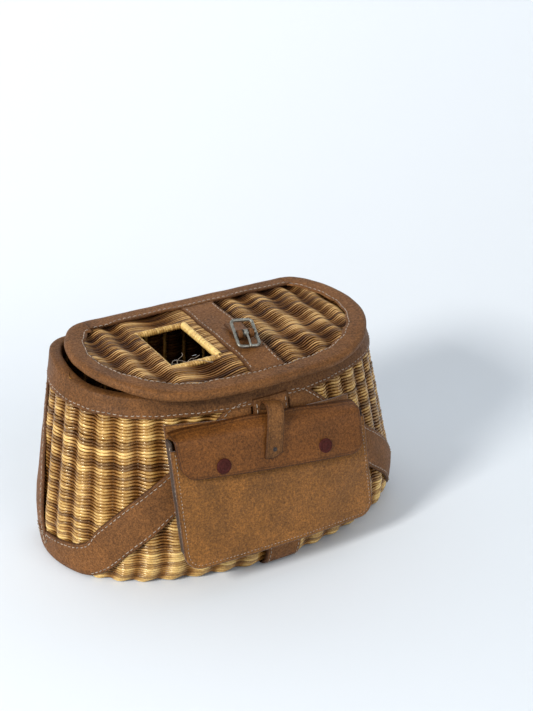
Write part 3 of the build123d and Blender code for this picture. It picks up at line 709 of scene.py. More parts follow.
# ---- the woven basket -----------------------------------------------------------------------
def woven_rows(name, levels, numbers, stakes, weave, body="basket"):
    """Rows of the wall's weave at given levels; all swing out together at every second stake."""
    dice = np.random.default_rng(11 + int(numbers[0]))
    count = stakes * weave.steps
    turn = np.arange(count) / count
    stake_way = turn * stakes
    rows, spots = np.meshgrid(numbers, stake_way, indexing="ij")
    swing = np.cos(math.pi * (spots - RIDGE_START))
    bulge = weave.bulge / MM * (1 + 0.1 * dice.standard_normal((len(numbers), 1)))
    offset = WALL_MIDDLE + bulge * swing
    span = np.array([levels[n + 1] - levels[n - 1] for n in numbers])[:, None] / 2
    sway = span * (0.4 * np.sin(TAU * 7 * turn[None] + 0.11 * numbers[:, None])
                   + 0.16 * np.sin(TAU * 23 * turn[None] + 0.2 * numbers[:, None])
                   + 0.03 * np.sin(TAU * turn[None] * dice.integers(30, 60, (len(numbers), 1))))
    height = np.maximum(np.array([levels[n] for n in numbers])[:, None] + sway, ROW_LOWEST)
    centres = wall(turn[None] + 0 * rows, offset, height)
    outward = unit(wall(turn[None] + 0 * rows, offset + 1, height) - centres)
    above = wall(turn[None] + 0 * rows, offset, height + span)
    gap = np.linalg.norm(above - centres, axis=-1)
    side = np.clip(gap, 0.7, 3.6) * (ROW_FULLNESS + 0.01 * swing)
    points, faces = tubes(centres, outward, 1.35, side, closed=True)
    tone = (dice.uniform(0.05, 0.95, (len(numbers), 1))
            + 0.22 * np.sin(stake_way / 3 + dice.uniform(0, TAU, (len(numbers), 1))))
    # painted shade: rows are darkened where they swing in between ridges, and at each strand's sides and
    # back
    deep = 0.31 - 0.31 * swing
    marks = {"tone": per_ring(tone + 0 * rows), "deep": per_ring(deep, 0.78)}
    return new_piece(name, points, faces, body, material("wall_willow"), marks)


def wall_levels(pitch):
    """Heights of the wall's rows, evenly spaced along its side from the foot to the rim."""
    heights = np.concatenate([np.linspace(0, 1, 60) ** 2 * BELLY_HEIGHT,
                              np.linspace(BELLY_HEIGHT, RIM_HEIGHT, 60)[1:]])
    side = wall(0.36, 0.0, heights)
    along = np.concatenate([[0], np.cumsum(np.linalg.norm(np.diff(side, axis=0), axis=1))])
    count = int(along[-1] / pitch)
    spread = np.linspace(0, 1, count)
    spread = spread - 0.035 * np.sin(math.pi * spread) ** 2 * (1 - spread)
    return np.interp(spread * along[-1], along, heights)


def flat_weave(row_ends, pitch, middle, bulge, steps, dice):
    """Rows of the lid's ridged weave: row_ends gives (y, left, right) for each piece of row."""
    crests, numbers = np.array(LID_RIDGES, float).T
    parts, tones, deeps = [], [], []
    for row, y, left, right, left_rim, right_rim in row_ends:
        count = max(6, int((right - left) / 12 * steps))
        x = np.linspace(left, right, count)
        phase = np.interp(x + 1.2 * math.sin(row * 0.35), crests, numbers) * TAU
        swing, rise = np.cos(phase), -np.sin(phase)
        height = middle + bulge * swing * (1 + 0.08 * dice.standard_normal())
        for rim, edge in ((left_rim, left), (right_rim, right)):
            near = np.clip(1 - np.abs(x - edge) / 3.5, 0, 1)
            height = height + rim * (near * 2.2 * (1 - near) - 2.4 * near ** 3)
        sway = pitch * (0.4 * np.sin(x / 17 + 0.23 * row) + 0.15 * np.sin(x / 8 + 0.4 * row)
                        + 0.07 * np.sin(x / dice.uniform(5, 12)))
        thin = 0.8 if dice.random() < 0.14 else 1.0
        centres = lid(x, y + sway, height)
        outward = lid(x, y + sway, height + 1) - centres
        parts.append(tubes(centres[None], outward[None], 1.4, pitch * thin * (0.44 - 0.06 * rise)))
        tones.append(per_ring(dice.uniform(0.0, 1.0) + 0.2 * np.sin(x / 30 + dice.uniform(0, TAU))))
        # painted shade: lid strands are darkened in the valleys, more on one flank of each ridge, and at
        # their sides and backs
        deeps.append(per_ring(0.34 - 0.26 * swing + 0.08 * rise, 1.0 + 0.55 * rise[:, None]))
    points, faces = joined(parts)
    return points, faces, {"tone": np.concatenate(tones), "deep": np.concatenate(deeps)}


class Step:
    """What the operators share: each builds its pieces and reports that it has finished."""

    def execute(self, context):
        self.build(context)
        return {"FINISHED"}


def outline_reach(place, y, height):
    """Left and right ends at y of an outline given by place(turn, height)."""
    turn = np.linspace(0, 1, 720, endpoint=False)
    outline = place(turn, height)
    right = outline[turn < 0.5]
    left = outline[turn > 0.5]
    right = right[np.argsort(right[:, 1])]
    left = left[np.argsort(left[:, 1])]
    return np.interp(y, left[:, 1], left[:, 0]), np.interp(y, right[:, 1], right[:, 0])


class CREEL_OT_wall(Step, Operator):
    """Weave the basket's wall round its stakes, and its base"""
    bl_idname = "creel.wall"
    bl_label = "Basket wall"

    def build(self, context):
        weave = context.scene.creel_weave
        levels = wall_levels(weave.strand_pitch / MM)
        perimeter = np.linalg.norm(np.diff(wall(np.linspace(0, 1, 200), 0, 90.0), axis=0), axis=1).sum()
        stakes = 2 * round(perimeter / (weave.stake_pitch / MM) / 2)
        numbers = np.arange(1, len(levels) - 1)
        tiers = np.array_split(numbers, 5)
        names = ("foot", "belly", "middle", "shoulder", "rim")
        pieces = [woven_rows(f"wall_weave_{tier}", levels, rows, stakes, weave)
                  for tier, rows in zip(names, tiers)]
        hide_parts("basket_weave")
        self.stakes(stakes)
        self.base()

    def stakes(self, count):
        turn = (RIDGE_START + 2 * np.arange(count // 2)[:, None]) / count
        height = np.concatenate([[0.4, 1.2, 3.0], np.linspace(6, 186, 26)])[None]
        centres = wall(turn, WALL_MIDDLE - 0.9, height + 0 * turn)
        outward = unit(wall(turn, WALL_MIDDLE, height + 0 * turn) - centres)
        points, faces = tubes(centres, outward, 1.2, 1.8)
        tone = np.random.default_rng(5).uniform(0.2, 0.7, (count // 2, 1)) + 0 * height
        # painted shade: a depth of 0.35 makes the stakes evenly darker, as they lie behind the strands
        marks = {"tone": per_ring(tone), "deep": per_ring(np.full(tone.shape, 0.35))}
        piece = new_piece("wall_stakes", points, faces, "basket",
                          material("wall_willow"), marks)
        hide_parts("basket_stakes")

    def base(self):
        dice = np.random.default_rng(21)
        parts, tones, deeps = [], [], []
        for row, y in enumerate(np.arange(-74, 66, BASE_PITCH)):
            left, right = outline_reach(lambda turn, height: wall(turn, -5.0, height), y, 0.8)
            x = np.linspace(left, right, max(8, int((right - left) / 4)))
            swing = np.cos(math.pi * (x / 15 + row))
            centres = np.stack([x, y + 0.3 * np.sin(x / 23 + row), 2.3 + 0.9 * swing], -1)
            outward = np.zeros_like(centres)
            outward[:, 2] = -1
            parts.append(tubes(centres[None], outward[None], 0.9, 0.6 * BASE_PITCH))
            tones.append(per_ring(np.full(len(x), dice.uniform(0.2, 0.7))))
            # painted shade: each base strand is darkened where it swings furthest up or down
            deeps.append(per_ring(0.3 + 0.3 * np.abs(swing)))
        points, faces = joined(parts)
        marks = {"tone": np.concatenate(tones), "deep": np.concatenate(deeps)}
        new_piece("base_weave", points, faces, "basket", material("wall_willow"), marks)


class CREEL_OT_lid_weave(Step, Operator):
    """Weave the lid from side to side over its stakes, round the fish hole"""
    bl_idname = "creel.lid_weave"
    bl_label = "Lid weave"

    def build(self, context):
        weave = context.scene.creel_weave
        dice = np.random.default_rng(31)
        pitch = weave.lid_pitch / MM
        rows = []
        for row, y in enumerate(np.arange(LID_REAR - LID_DEPTH + 9, LID_REAR - 9, pitch)):
            left, right = outline_reach(lambda turn, height: lid_edge(turn, 8.0, height), y, 5.0)
            if HOLE_FRONT - 1.5 < y < HOLE_REAR + 1.5:
                rows.append((row, y, left, HOLE_LEFT - 0.8, 0, 1))
                rows.append((row, y, HOLE_RIGHT + 2.5, right, 0, 0))
            else:
                rows.append((row, y, left, right, 0, 0))
        points, faces, marks = flat_weave(rows, pitch, LID_WEAVE_MIDDLE - 0.2, 2.3, weave.steps, dice)
        piece = new_piece("lid_strands", points, faces, "lid", material("lid_willow"),
                          marks)
        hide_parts("lid_weave")
        self.stakes()
        self.rod()

    def stakes(self):
        """Stakes from front to back under the ridges."""
        turn = np.linspace(0, 1, 720, endpoint=False)
        outline = lid_edge(turn, 7.0, 5.0)
        parts = []
        for x, _ in LID_RIDGES[1:-1]:
            near = outline[np.abs(outline[:, 0] - x) < 2.0]
            rear, fore = near[:, 1].max(), near[:, 1].min()
            runs = [(fore, rear)]
            if HOLE_LEFT < x < HOLE_RIGHT:
                runs = [(fore, HOLE_FRONT - 2), (HOLE_REAR + 2, rear)]
            for start, stop in runs:
                y = np.linspace(start, stop, 24)
                centres = lid(x, y, LID_WEAVE_MIDDLE - 0.8)
                outward = lid(x, y, LID_WEAVE_MIDDLE) - centres
                parts.append(tubes(centres[None], outward[None], 1.2, 1.7))
        points, faces = joined(parts)
        new_piece("lid_stakes", points, faces, "lid", material("lid_willow"),
                  even_marks(points, 0.75, 0.2))

    def rod(self):
        """The willow rod that the lid's binding is sewn round."""
        turn = np.linspace(0, 1, 240, endpoint=False)[None]
        centres = lid_edge(turn, 4.6, 5.0)
        outward = lid_edge(turn, 4.6, 6.0) - centres
        points, faces = tubes(centres, outward, 2.6, 2.2, sides=10, closed=True)
        piece = new_piece("lid_rim_rod", points, faces, "lid", material("lid_willow"),
                          even_marks(points, 0.4, 0.3))
        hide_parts("lid_rod")


class CREEL_OT_fish_hole(Step, Operator):
    """Wrap split willow round the edge of the fish hole"""
    bl_idname = "creel.fish_hole"
    bl_label = "Fish hole rim"

    def build(self, context):
        left, right, rear, fore = HOLE_LEFT, HOLE_RIGHT, HOLE_REAR, HOLE_FRONT
        sides = (
            ("right", (right + 2.9, fore - 1), (right + 2.9, rear + 2), 2.7, 3.1, 2.05),
            ("rear", (left - 2, rear + 2.2), (right + 1, rear + 2.2), 2.1, 2.6, 2.3),
            ("front", (right + 2, fore - 2.6), (left - 1, fore - 2.6), 2.6, 1.9, 2.5),
            ("left", (left - 1.6, rear), (left - 1.6, fore), 1.3, 1.9, 1.9),
        )
        for seed, (side, start, stop, reach, rise, pitch) in enumerate(sides):
            # painted light: the right-hand wraps get a lighter copy of the willow
            finish = "lit_willow" if side == "right" else "wall_willow"
            self.wrap(f"hole_wrap_{side}", np.array(start), np.array(stop), reach, rise,
                                    pitch, finish, seed)
        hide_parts("fish_hole_border")
        self.loose_fibres()

    def wrap(self, name, start, stop, reach, rise, pitch, finish, seed):
        """One strand wound in tight turns round a rod from start to stop."""
        dice = np.random.default_rng(seed)
        length = np.linalg.norm(stop - start)
        turns = int(length / pitch)
        angle = np.linspace(0, TAU * turns, 14 * turns)
        way = angle / (TAU * turns) * length
        along = (stop - start) / length
        across = np.array([-along[1], along[0]])
        swell = 1 + 0.05 * np.sin(way / 9 + seed) + 0.03 * dice.standard_normal(turns).repeat(14)
        flat = start + along * way[:, None] + across * (reach * swell * np.cos(angle))[:, None]
        height = 5.3 + rise * swell * np.sin(angle)
        centres = lid(flat[:, 0], flat[:, 1], height)
        middle = start + along * way[:, None]
        outward = unit(centres - lid(middle[:, 0], middle[:, 1], 5.3))
        points, faces = tubes(centres[None], outward[None], 0.75, 0.56 * pitch)
        tone = dice.uniform(0.3, 0.8, turns).repeat(14)
        # painted shade: the underside of each turn of the wrap is darkened
        marks = {"tone": per_ring(tone), "deep": per_ring(0.18 + 0.3 * (np.sin(angle) < -0.3))}
        return new_piece(name, points, faces, "lid", material(finish), marks)

    def loose_fibres(self):
        """Torn fibres hanging into the hole at its front left."""
        fibres = (
            ((-66, -33, 6.5), (-60, -22, 3.5), (-50, -12, 1.0), (-46, -3, -1.5)),
            ((-64, -34, 6.0), (-62, -24, 1.0), (-66, -14, -3.0), (-63, -8, -6.0)),
            ((-58, -35, 6.4), (-49, -26, 4.0), (-44, -24, 2.5), (-37, -20, 2.0)),
            ((-70, -30, 5.0), (-63, -20, 2.5), (-54, -21, 0.5), (-48, -27, -2.5)),
            ((-52, -35, 7.6), (-46, -41, 9.0), (-42, -45, 8.8), (-38, -47, 8.4)),
        )
        parts = []
        for fibre in fibres:
            run = smooth_run(fibre, 8)
            centres = lid(run[:, 0], run[:, 1], run[:, 2])
            outward = np.tile([0.3, 0.2, 0.93], (len(run), 1))
            parts.append(tubes(centres[None], outward[None], 0.22, 0.28))
        points, faces = joined(parts)
        new_piece("loose_fibres", points, faces, "lid", material("thread"))


# ---- leather on the rim and the lid -----------------------------------------------------------
def leather_seams(context, name, runs, body):
    """Stitches with the scene's stitch size."""
    sizes = context.scene.creel_leather
    return stitched(name, runs, body, material("thread"), sizes.stitch_pitch / MM, sizes.stitch_length / MM)


class CREEL_OT_rim(Step, Operator):
    """Fold the leather rim band over the top of the wall"""
    bl_idname = "creel.rim"
    bl_label = "Rim band"

    def build(self, context):
        profile = [(2.0, BAND_LOW), (2.5, BAND_LOW + 1.5), (2.3, 175), (2.4, 185.2), (1.2, 187.4),
                   (-1.5, 188.0), (-5.8, 187.6), (-8.0, 186.4), (-8.9, 184.0), (-9.0, 176), (-8.8, 174.2),
                   (-7.9, 174.4), (-7.6, 182), (-6.8, 185.0), (-4.6, 186.0), (-1.4, 186.1), (0.1, 184.8),
                   (0.35, 175), (0.4, BAND_LOW + 1.5), (0.8, BAND_LOW)]
        turns = np.linspace(0, 1, 260, endpoint=False)
        band = folded_run("rim_leather", wall, turns, profile, "basket", material("rim"), closed=True,
                          wave=0.22, seed=41)
        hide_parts("rim_band")
        turn = np.linspace(0.03, 0.97, 700)
        height = BAND_LOW + 3.4 + 0.35 * np.sin(turn * 160)
        leather_seams(context, "rim_seam", [trace(lambda u, v, w: wall(u, w, v), turn, height, 2.35)],
                      "basket")
        self.hoop()

    def hoop(self):
        """The willow hoop that stiffens the rim inside its band."""
        turn = np.linspace(0, 1, 200, endpoint=False)[None]
        centres = wall(turn, -5.6, 181.0)
        outward = unit(wall(turn, -4.6, 181.0) - centres)
        points, faces = tubes(centres, outward, 1.7, 3.4, sides=8, closed=True)
        piece = new_piece("rim_willow_hoop", points, faces, "basket", material("lid_willow"),
                          even_marks(points, 0.4, 0.3))
        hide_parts("rim_hoop")


class CREEL_OT_lid_binding(Step, Operator):
    """Fold leather round the lid's edge and over its back hinge"""
    bl_idname = "creel.lid_binding"
    bl_label = "Lid binding"

    def build(self, context):
        zone = self.hinge_turn()
        turns = np.linspace(zone, 1 - zone, 240)
        profile = [(19.2, 7.6), (18.6, 8.6), (14, 9.6), (6, 10.4), (2.4, 9.9), (0.5, 8.3), (0.0, 6.0),
                   (0.8, 3.2), (2.9, 1.3), (6, 0.6), (15, 0.4), (19.3, 1.0), (19.2, 2.2), (15, 2.0),
                   (6, 2.2), (3.6, 3.2), (2.2, 5.8), (3.0, 7.8), (6, 8.4), (15, 8.0)]
        edge = folded_run("lid_edge_leather", self.scalloped, turns, profile, "lid", material("binding"),
                          wave=0.25, seed=51)
        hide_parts("lid_edge_binding")
        turn = np.linspace(zone + 0.002, 1 - zone - 0.002, 700)
        seam = trace(lambda u, v, w: lid_edge(u, v, w), turn, 17.0 + 0.5 * np.sin(turn * 170), 9.25)
        leather_seams(context, "lid_edge_seam", [seam], "lid")
        self.back_strip(context)

    def hinge_turn(self):
        """Turn at which the back strip ends and the edge binding starts."""
        turn = np.linspace(0, 0.3, 400)
        x = lid_edge(turn, 0.0, 5.0)[:, 0] - LID_SHIFT
        return float(np.interp(HINGE_HALF, x, turn)) - 0.004

    def scalloped(self, turn, inset, height):
        """The lid's edge with the binding's inner edge pulled in and out by its stitches."""
        scallop = 0.7 * np.sin(turn * 170) + 0.9 * np.sin(turn * 37 + 1)
        return lid_edge(turn, inset + scallop * np.clip((inset - 13) / 6, 0, 1), height)

    def back_strip(self, context):
        """One strip from the lid's top over its back edge and down the basket's back."""
        upright = Plate((0, 0, 0), (1, 0, 0), (0, 0, 1))
        top = lid(0.0, LID_REAR - np.array([3.0, 10.0, 17.0]), LID_TOP - 2.0)
        path = [(163.4, -76.75), (175, -76.7), (186, -76.65), (188.6, -76.5), (193, -76.3), (196.2, -75.4)]
        path += [(point[2], -point[1]) for point in top]
        fold = Fold(upright, path, 2 * HINGE_HALF - 1)

        def place(u, v, w):
            ragged = 0.012 * np.sin(u * 31) + 0.016 * np.sin(u * 12.7 + 1)
            ragged = ragged + 0.11 * np.exp(-((u - 0.055) / 0.04) ** 2)
            return fold(u, v * (1 + ragged * smoothstep((v - 0.7) / 0.3)), w)

        strip = leather_sheet("back_hinge_strip", place, fold.width, fold.length, None,
                              material("binding"), thickness=1.9, step=3.0, wave=0.2, seed=52)
        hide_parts("lid_back_binding", "hinge_leather")
        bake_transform(strip)
        u = np.linspace(0.01, 0.99, 300)
        top_seam = trace(place, u, 0.935, 1.95)
        leather_seams(context, "back_strip_seam", [top_seam], "lid")
        u = np.linspace(0.012, 0.988, 300)
        leather_seams(context, "hinge_seam", [trace(place, u, 0.055, 1.95)], "basket")
        under = lambda u, v, w: lid((u - 0.5) * 2 * HINGE_HALF, LID_REAR - 2.5 - 17 * v, 1.7 - w)
        leather_sheet("back_strip_underside", under, 2 * HINGE_HALF, 17, "lid", material("binding"),
                      thickness=1.5, step=5, wave=0.1, seed=53)


# ---- the leather harness on the basket ---------------------------------------------------------
class CREEL_OT_harness(Step, Operator):
    """Sew the corner bands, the diagonal bands and the centre strap to the basket"""
    bl_idname = "creel.harness"
    bl_label = "Harness"

    def build(self, context):
        for side, sign in (("right", 1), ("left", -1)):
            self.corner_band(context, side, sign)
            self.diagonal_band(context, side, sign)
        self.centre_strap(context)

    def corner_turns(self, height):
        """Turns of the corner band's back and front edges on the right-hand side."""
        straight = plan_radii(*BELLY)[2]
        edge_y = 16 + (np.asarray(height, float) + 1) * 39 / 176
        near, far = np.full(edge_y.shape, WALL_SHARES[0] / 2), np.full(edge_y.shape, 0.5)
        for _ in range(24):
            turn = (near + far) / 2
            behind = wall(turn, 0.0, height)[..., 1] > edge_y
            near, far = np.where(behind, turn, near), np.where(behind, far, turn)
        return 112 / straight * WALL_SHARES[0] / 2, turn

    def corner_band(self, context, side, sign):
        def place(u, v, w):
            height = 0.3 + (BAND_LOW - 0.7) * v
            rear, fore = self.corner_turns(height)
            ragged = 0.0012 * np.sin(v * 31) * (u - 0.5)
            turn = rear + (fore - rear) * u + ragged
            return wall(turn if sign > 0 else 1 - turn, w + 0.3, height)

        band = leather_sheet(f"{side}_corner_leather", place, 75, BAND_LOW, "basket", material("harness"),
                             thickness=1.9, wave=0.3, seed=61 + sign)
        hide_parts(f"{side}_corner_band")
        v = np.linspace(0.01, 0.985, 260)
        seams = [trace(place, 1 - 3.6 / 75, v, 1.95), trace(place, 3.6 / 75, v, 1.95)]
        leather_seams(context, f"{side}_corner_seams", seams, "basket")

    def diagonal_edges(self):
        """Upper and lower edges of the right-hand diagonal band as (turn, height) runs."""
        ends = self.corner_turns(np.array([10.0]))[1][0]
        low_end = front_turn(164.0, 1.0)[0]
        upper = [front_turn(x, z) for x, z in ((20, 168), (42, 158), (101, 105), (131, 81), (154, 55),
                                               (168, 35))]
        upper += [(WALL_SHARES[1] / 2 + 0.008, 20.0), (ends, 16.5)]
        lower = [front_turn(x, z) for x, z in ((20, 133), (42, 114), (107, 60), (136, 34), (152, 13))]
        lower += [(low_end, 0.3), (ends, 0.3)]
        runs = []
        for edge in (upper, lower):
            run = smooth_run(np.array(edge, float)[::-1], 10)
            runs.append(run[np.argsort(run[:, 0])])
        return runs

    def diagonal_band(self, context, side, sign):
        upper, lower = self.diagonal_edges()
        first, last = front_turn(19.0, 140.0)[0], upper[0, 0]

        def limits(u):
            turn = first + (last - first) * np.asarray(u, float)
            top = np.interp(turn, upper[:, 0], upper[:, 1])
            bottom = np.interp(turn, lower[:, 0], lower[:, 1]).clip(0.3)
            return turn, top, bottom

        def place(u, v, w):
            turn, top, bottom = limits(u)
            height = bottom + (top - bottom) * v + 0.5 * np.sin(u * 37) * (2 * v - 1) * (bottom > 1)
            return wall(turn if sign > 0 else 1 - turn, w + 0.3, height)

        band = leather_sheet(f"{side}_diagonal_leather", place, 230, 40, "basket", material("harness"),
                             thickness=2.0, wave=0.35, seed=64 + sign, step=3.0)
        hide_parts(f"{side}_diagonal_band")
        u = np.linspace(0.01, 0.99, 400)
        _, top, bottom = limits(u)
        inset = np.interp(u, (0, 0.6, 0.75), (4.4, 4.2, 3.2)) / (top - bottom)
        seams = [trace(place, u, 1 - inset, 2.05)]
        clear = bottom > 2.0
        seams.append(trace(place, u[clear], inset[clear], 2.05))
        leather_seams(context, f"{side}_diagonal_seams", seams, "basket")

    def centre_strap(self, context):
        place = lambda u, v, w: front(-17.5 + 35 * u, 0.4 + 165 * v, w + 0.3)
        strap = leather_sheet("centre_leather", place, 35, 165, "basket", material("harness"),
                              thickness=3.6, wave=0.25, seed=67)
        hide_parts("centre_strap")
        v = np.linspace(0.01, 0.99, 240)
        seams = [trace(place, u, v, 3.6) for u in (3.2 / 35, 1 - 3.2 / 35)]
        leather_seams(context, "centre_seams", seams, "basket")


# ---- strap and buckle on the lid -----------------------------------------------------------------
class CREEL_OT_lid_strap(Step, Operator):
    """Sew the strap to the lid and hang the buckle on it"""
    bl_idname = "creel.lid_strap"
    bl_label = "Lid strap and buckle"

    def build(self, context):
        width = LID_STRAP_RIGHT - LID_STRAP_LEFT
        rear, fore = LID_REAR - 17.0, LID_REAR - LID_DEPTH + 17.0

        def place(u, v, w):
            x = LID_STRAP_LEFT + width * u + 0.4 * np.sin(v * 17 + 3 * u)
            return lid(x, rear + (fore - rear) * v, LID_STRAP_BASE + w)

        strap = leather_sheet("lid_strap_leather", place, width, rear - fore, "lid", material("harness"),
                              thickness=1.8, wave=0.25, seed=71)
        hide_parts("lid_strap")
        v = np.linspace(0.02, 0.98, 260)
        seams = [trace(place, u, v, 1.85) for u in (3.0 / width, 1 - 3.0 / width)]
        leather_seams(context, "lid_strap_seams", seams, "lid")
        self.chape()
        dress("buckle_frame", "steel")
        dress("buckle_prong", "steel")

    def chape(self):
        """The leather that holds the buckle's bar: a tail and two lobes round the bar."""
        joint = next(j for j in frame["joints"] if j["name"] == "buckle_hinge")
        pin = np.array(joint["pos_m"]) / MM
        right = -np.array(joint["axis"])
        out = np.array([0.0, -math.sin(RIM_TILT), math.cos(RIM_TILT)])
        plate = Plate(pin, right, np.cross(out, right))
        loop = [(20, -6.6), (14, -5.6), (8, -3.4), (3.4, 0.2), (1.4, 1.5), (-0.6, 1.7), (-1.9, 0.4),
                (-1.8, -1.4), (0.4, -3.4), (5, -6.0), (12, -7.4), (20, -7.8)]
        for side, shift in (("left", -5.4), ("right", 5.4)):
            lobe_plate = Plate(plate(shift, 0, 0), plate.right, plate.up)
            fold = Fold(lobe_plate, loop, 5.6)
            leather_sheet(f"chape_{side}_lobe", fold, fold.width, fold.length, "lid", material("harness"),
                          thickness=2.0, step=1.5, wave=0.1, seed=72)
        tail = Fold(plate, [(34, -7.2), (26, -6.8), (18, -6.0), (12, -4.4), (9, -3.4)], 16.5)
        piece = leather_sheet("chape_tail", tail, tail.width, tail.length, "lid", material("harness"),
                              thickness=2.0, step=2.0, wave=0.1, seed=73)
        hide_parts("buckle_chape")


# ---- the pocket ------------------------------------------------------------------------------------
def panel_bow(across):
    return np.asarray(across, float) ** 2 / (2 * PANEL_BOW)


def corner_rise(across, half, radius):
    """How far a straight lower edge rises at a rounded corner."""
    beyond = np.clip(np.abs(across) - (half - radius), 0, radius)
    return radius - np.sqrt(radius ** 2 - beyond ** 2)


class CREEL_OT_pocket(Step, Operator):
    """Sew the suede pocket: its back, its gusset and its front panel"""
    bl_idname = "creel.pocket"
    bl_label = "Pocket"

    def build(self, context):
        self.panel(context)
        self.gusset(context)
        self.back()
        self.studs()

    def studs(self):
        """The snaps' studs on the panel, each under its cap."""
        out = PANEL_FACE - panel_bow(SNAP_X) - 0.1
        profile = [(0.02, 2.5), (1.9, 2.5), (2.5, 2.0), (2.1, 1.0), (2.3, 0.35), (4.3, 0.25), (4.5, -0.2),
                   (0.02, -0.2)]
        spots = [(-SNAP_X, -SNAP_DROP, out), (SNAP_X - 1.0, -SNAP_DROP, out)]
        studs = turned("snap_studs", FLAP, spots, profile, "basket", "steel")
        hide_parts("pocket_snap_studs")

    def outline(self, inset, top_left, top_right, spacing=1.5):
        """The pocket's edge from its left mouth down, along and up, with outward directions."""
        half, low, radius = POCKET_HALF_WIDTH - inset, POCKET_LOW + inset, POCKET_CORNER - inset
        bend = np.linspace(0, math.pi / 2, 14)
        left = [(-half, v) for v in np.arange(top_left, low + radius, -spacing)]
        left += [(-half + radius - radius * math.cos(a), low + radius - radius * math.sin(a)) for a in bend]
        bottom = [(u, low) for u in np.arange(-half + radius + spacing, half - radius, spacing)]
        right = [(half - radius + radius * math.sin(a), low + radius - radius * math.cos(a)) for a in bend]
        right += [(half, v) for v in np.arange(low + radius + spacing, top_right, spacing)]
        run = np.array(left + bottom + right)
        tangent = unit(np.gradient(run, axis=0))
        return run, np.stack([tangent[:, 1], -tangent[:, 0]], -1)

    def panel(self, context):
        def place(u, v, w):
            across = POCKET_HALF_WIDTH * (2 * u - 1)
            low = POCKET_LOW + corner_rise(across, POCKET_HALF_WIDTH, POCKET_CORNER)
            top = FLAP_HINGE - 17 - across * math.sin(math.radians(FLAP_SLANT))
            up = low + (top - low) * v
            sag = 1.2 * np.sin(math.pi * np.clip(u, 0, 1)) * np.sin(math.pi * v)
            return POCKET(across, up, PANEL_FACE - 2.0 - panel_bow(across) - sag + w)

        panel = leather_sheet("pocket_front", place, 2 * POCKET_HALF_WIDTH, 103, "basket",
                              material("suede"), thickness=2.0, wave=0.35, seed=81)
        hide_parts("pocket_panel")
        run, _ = self.outline(3.6, 36, 20)
        seam = trace(POCKET, run[:, 0], run[:, 1], PANEL_FACE - panel_bow(run[:, 0]) - 0.15)
        stitched("pocket_seam", [seam], "basket", material("thread"), 3.4, 1.9, 0.3, seed=82)

    def gusset(self, context):
        run, normal = self.outline(1.2, 44, 30)
        share = np.linspace(0, 1, len(run))
        depth = wall_depth(POCKET, run[:, 0], run[:, 1], 4.6)

        def place(u, v, w):
            across, up, out_u, out_v, back = (np.interp(u, share, column) for column in
                                              (run[:, 0], run[:, 1], normal[:, 0], normal[:, 1], depth))
            face = PANEL_FACE - 1.6 - panel_bow(across)
            push = w - 1.8 * np.sin(math.pi * np.clip(v, 0, 1)) + 0.5 * np.sin(u * 70) * v * (1 - v) * 4
            push = push - 5.0 * (1 - v) ** 2
            return POCKET(across + out_u * push, up + out_v * push, back + (face - back) * v)

        gusset = leather_sheet("pocket_gusset_leather", place, 400, 18, "basket", material("gusset"),
                               thickness=1.6, base=-1.4, step=2.5, wave=0.3, seed=83)
        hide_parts("pocket_gusset")
        u = np.linspace(0.005, 0.995, 500)
        stitched("gusset_seam", [trace(place, u, 0.84, 0.35)], "basket", material("thread"), 4.2, 3.0, 0.42,
                 seed=84)

    def back(self):
        def place(u, v, w):
            across = (POCKET_HALF_WIDTH - 5.5) * (2 * u - 1)
            low = POCKET_LOW + 5.5 + corner_rise(across, POCKET_HALF_WIDTH - 5.5, POCKET_CORNER)
            up = low + (FLAP_HINGE + 1.5 - across * math.sin(math.radians(FLAP_SLANT)) - low) * v
            return POCKET(across, up, wall_depth(POCKET, across, up, 4.3) + w)

        back = leather_sheet("pocket_backing", place, 2 * POCKET_HALF_WIDTH, 118, "basket",
                             material("suede"), thickness=1.8, step=6, wave=0.1, seed=85)
        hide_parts("pocket_back")


def turned(name, plate, centres, profile, body, finish, steps=36):
    """Round pieces with one profile of (radius, out) points, one at each centre on a plate."""
    angle = np.arange(steps) * TAU / steps
    parts = []
    for across, up, out in centres:
        radius, rise = np.array(profile, float).T
        points = plate(across + np.outer(np.cos(angle), radius), up + np.outer(np.sin(angle), radius),
                       out + rise[None] + 0 * angle[:, None])
        index = np.arange(points[..., 0].size).reshape(points.shape[:2])
        parts.append((points.reshape(-1, 3), grid_faces(index, wrap_rows=True)))
    points, faces = joined(parts)
    return new_piece(name, points, faces, body, material(finish), mend=True)


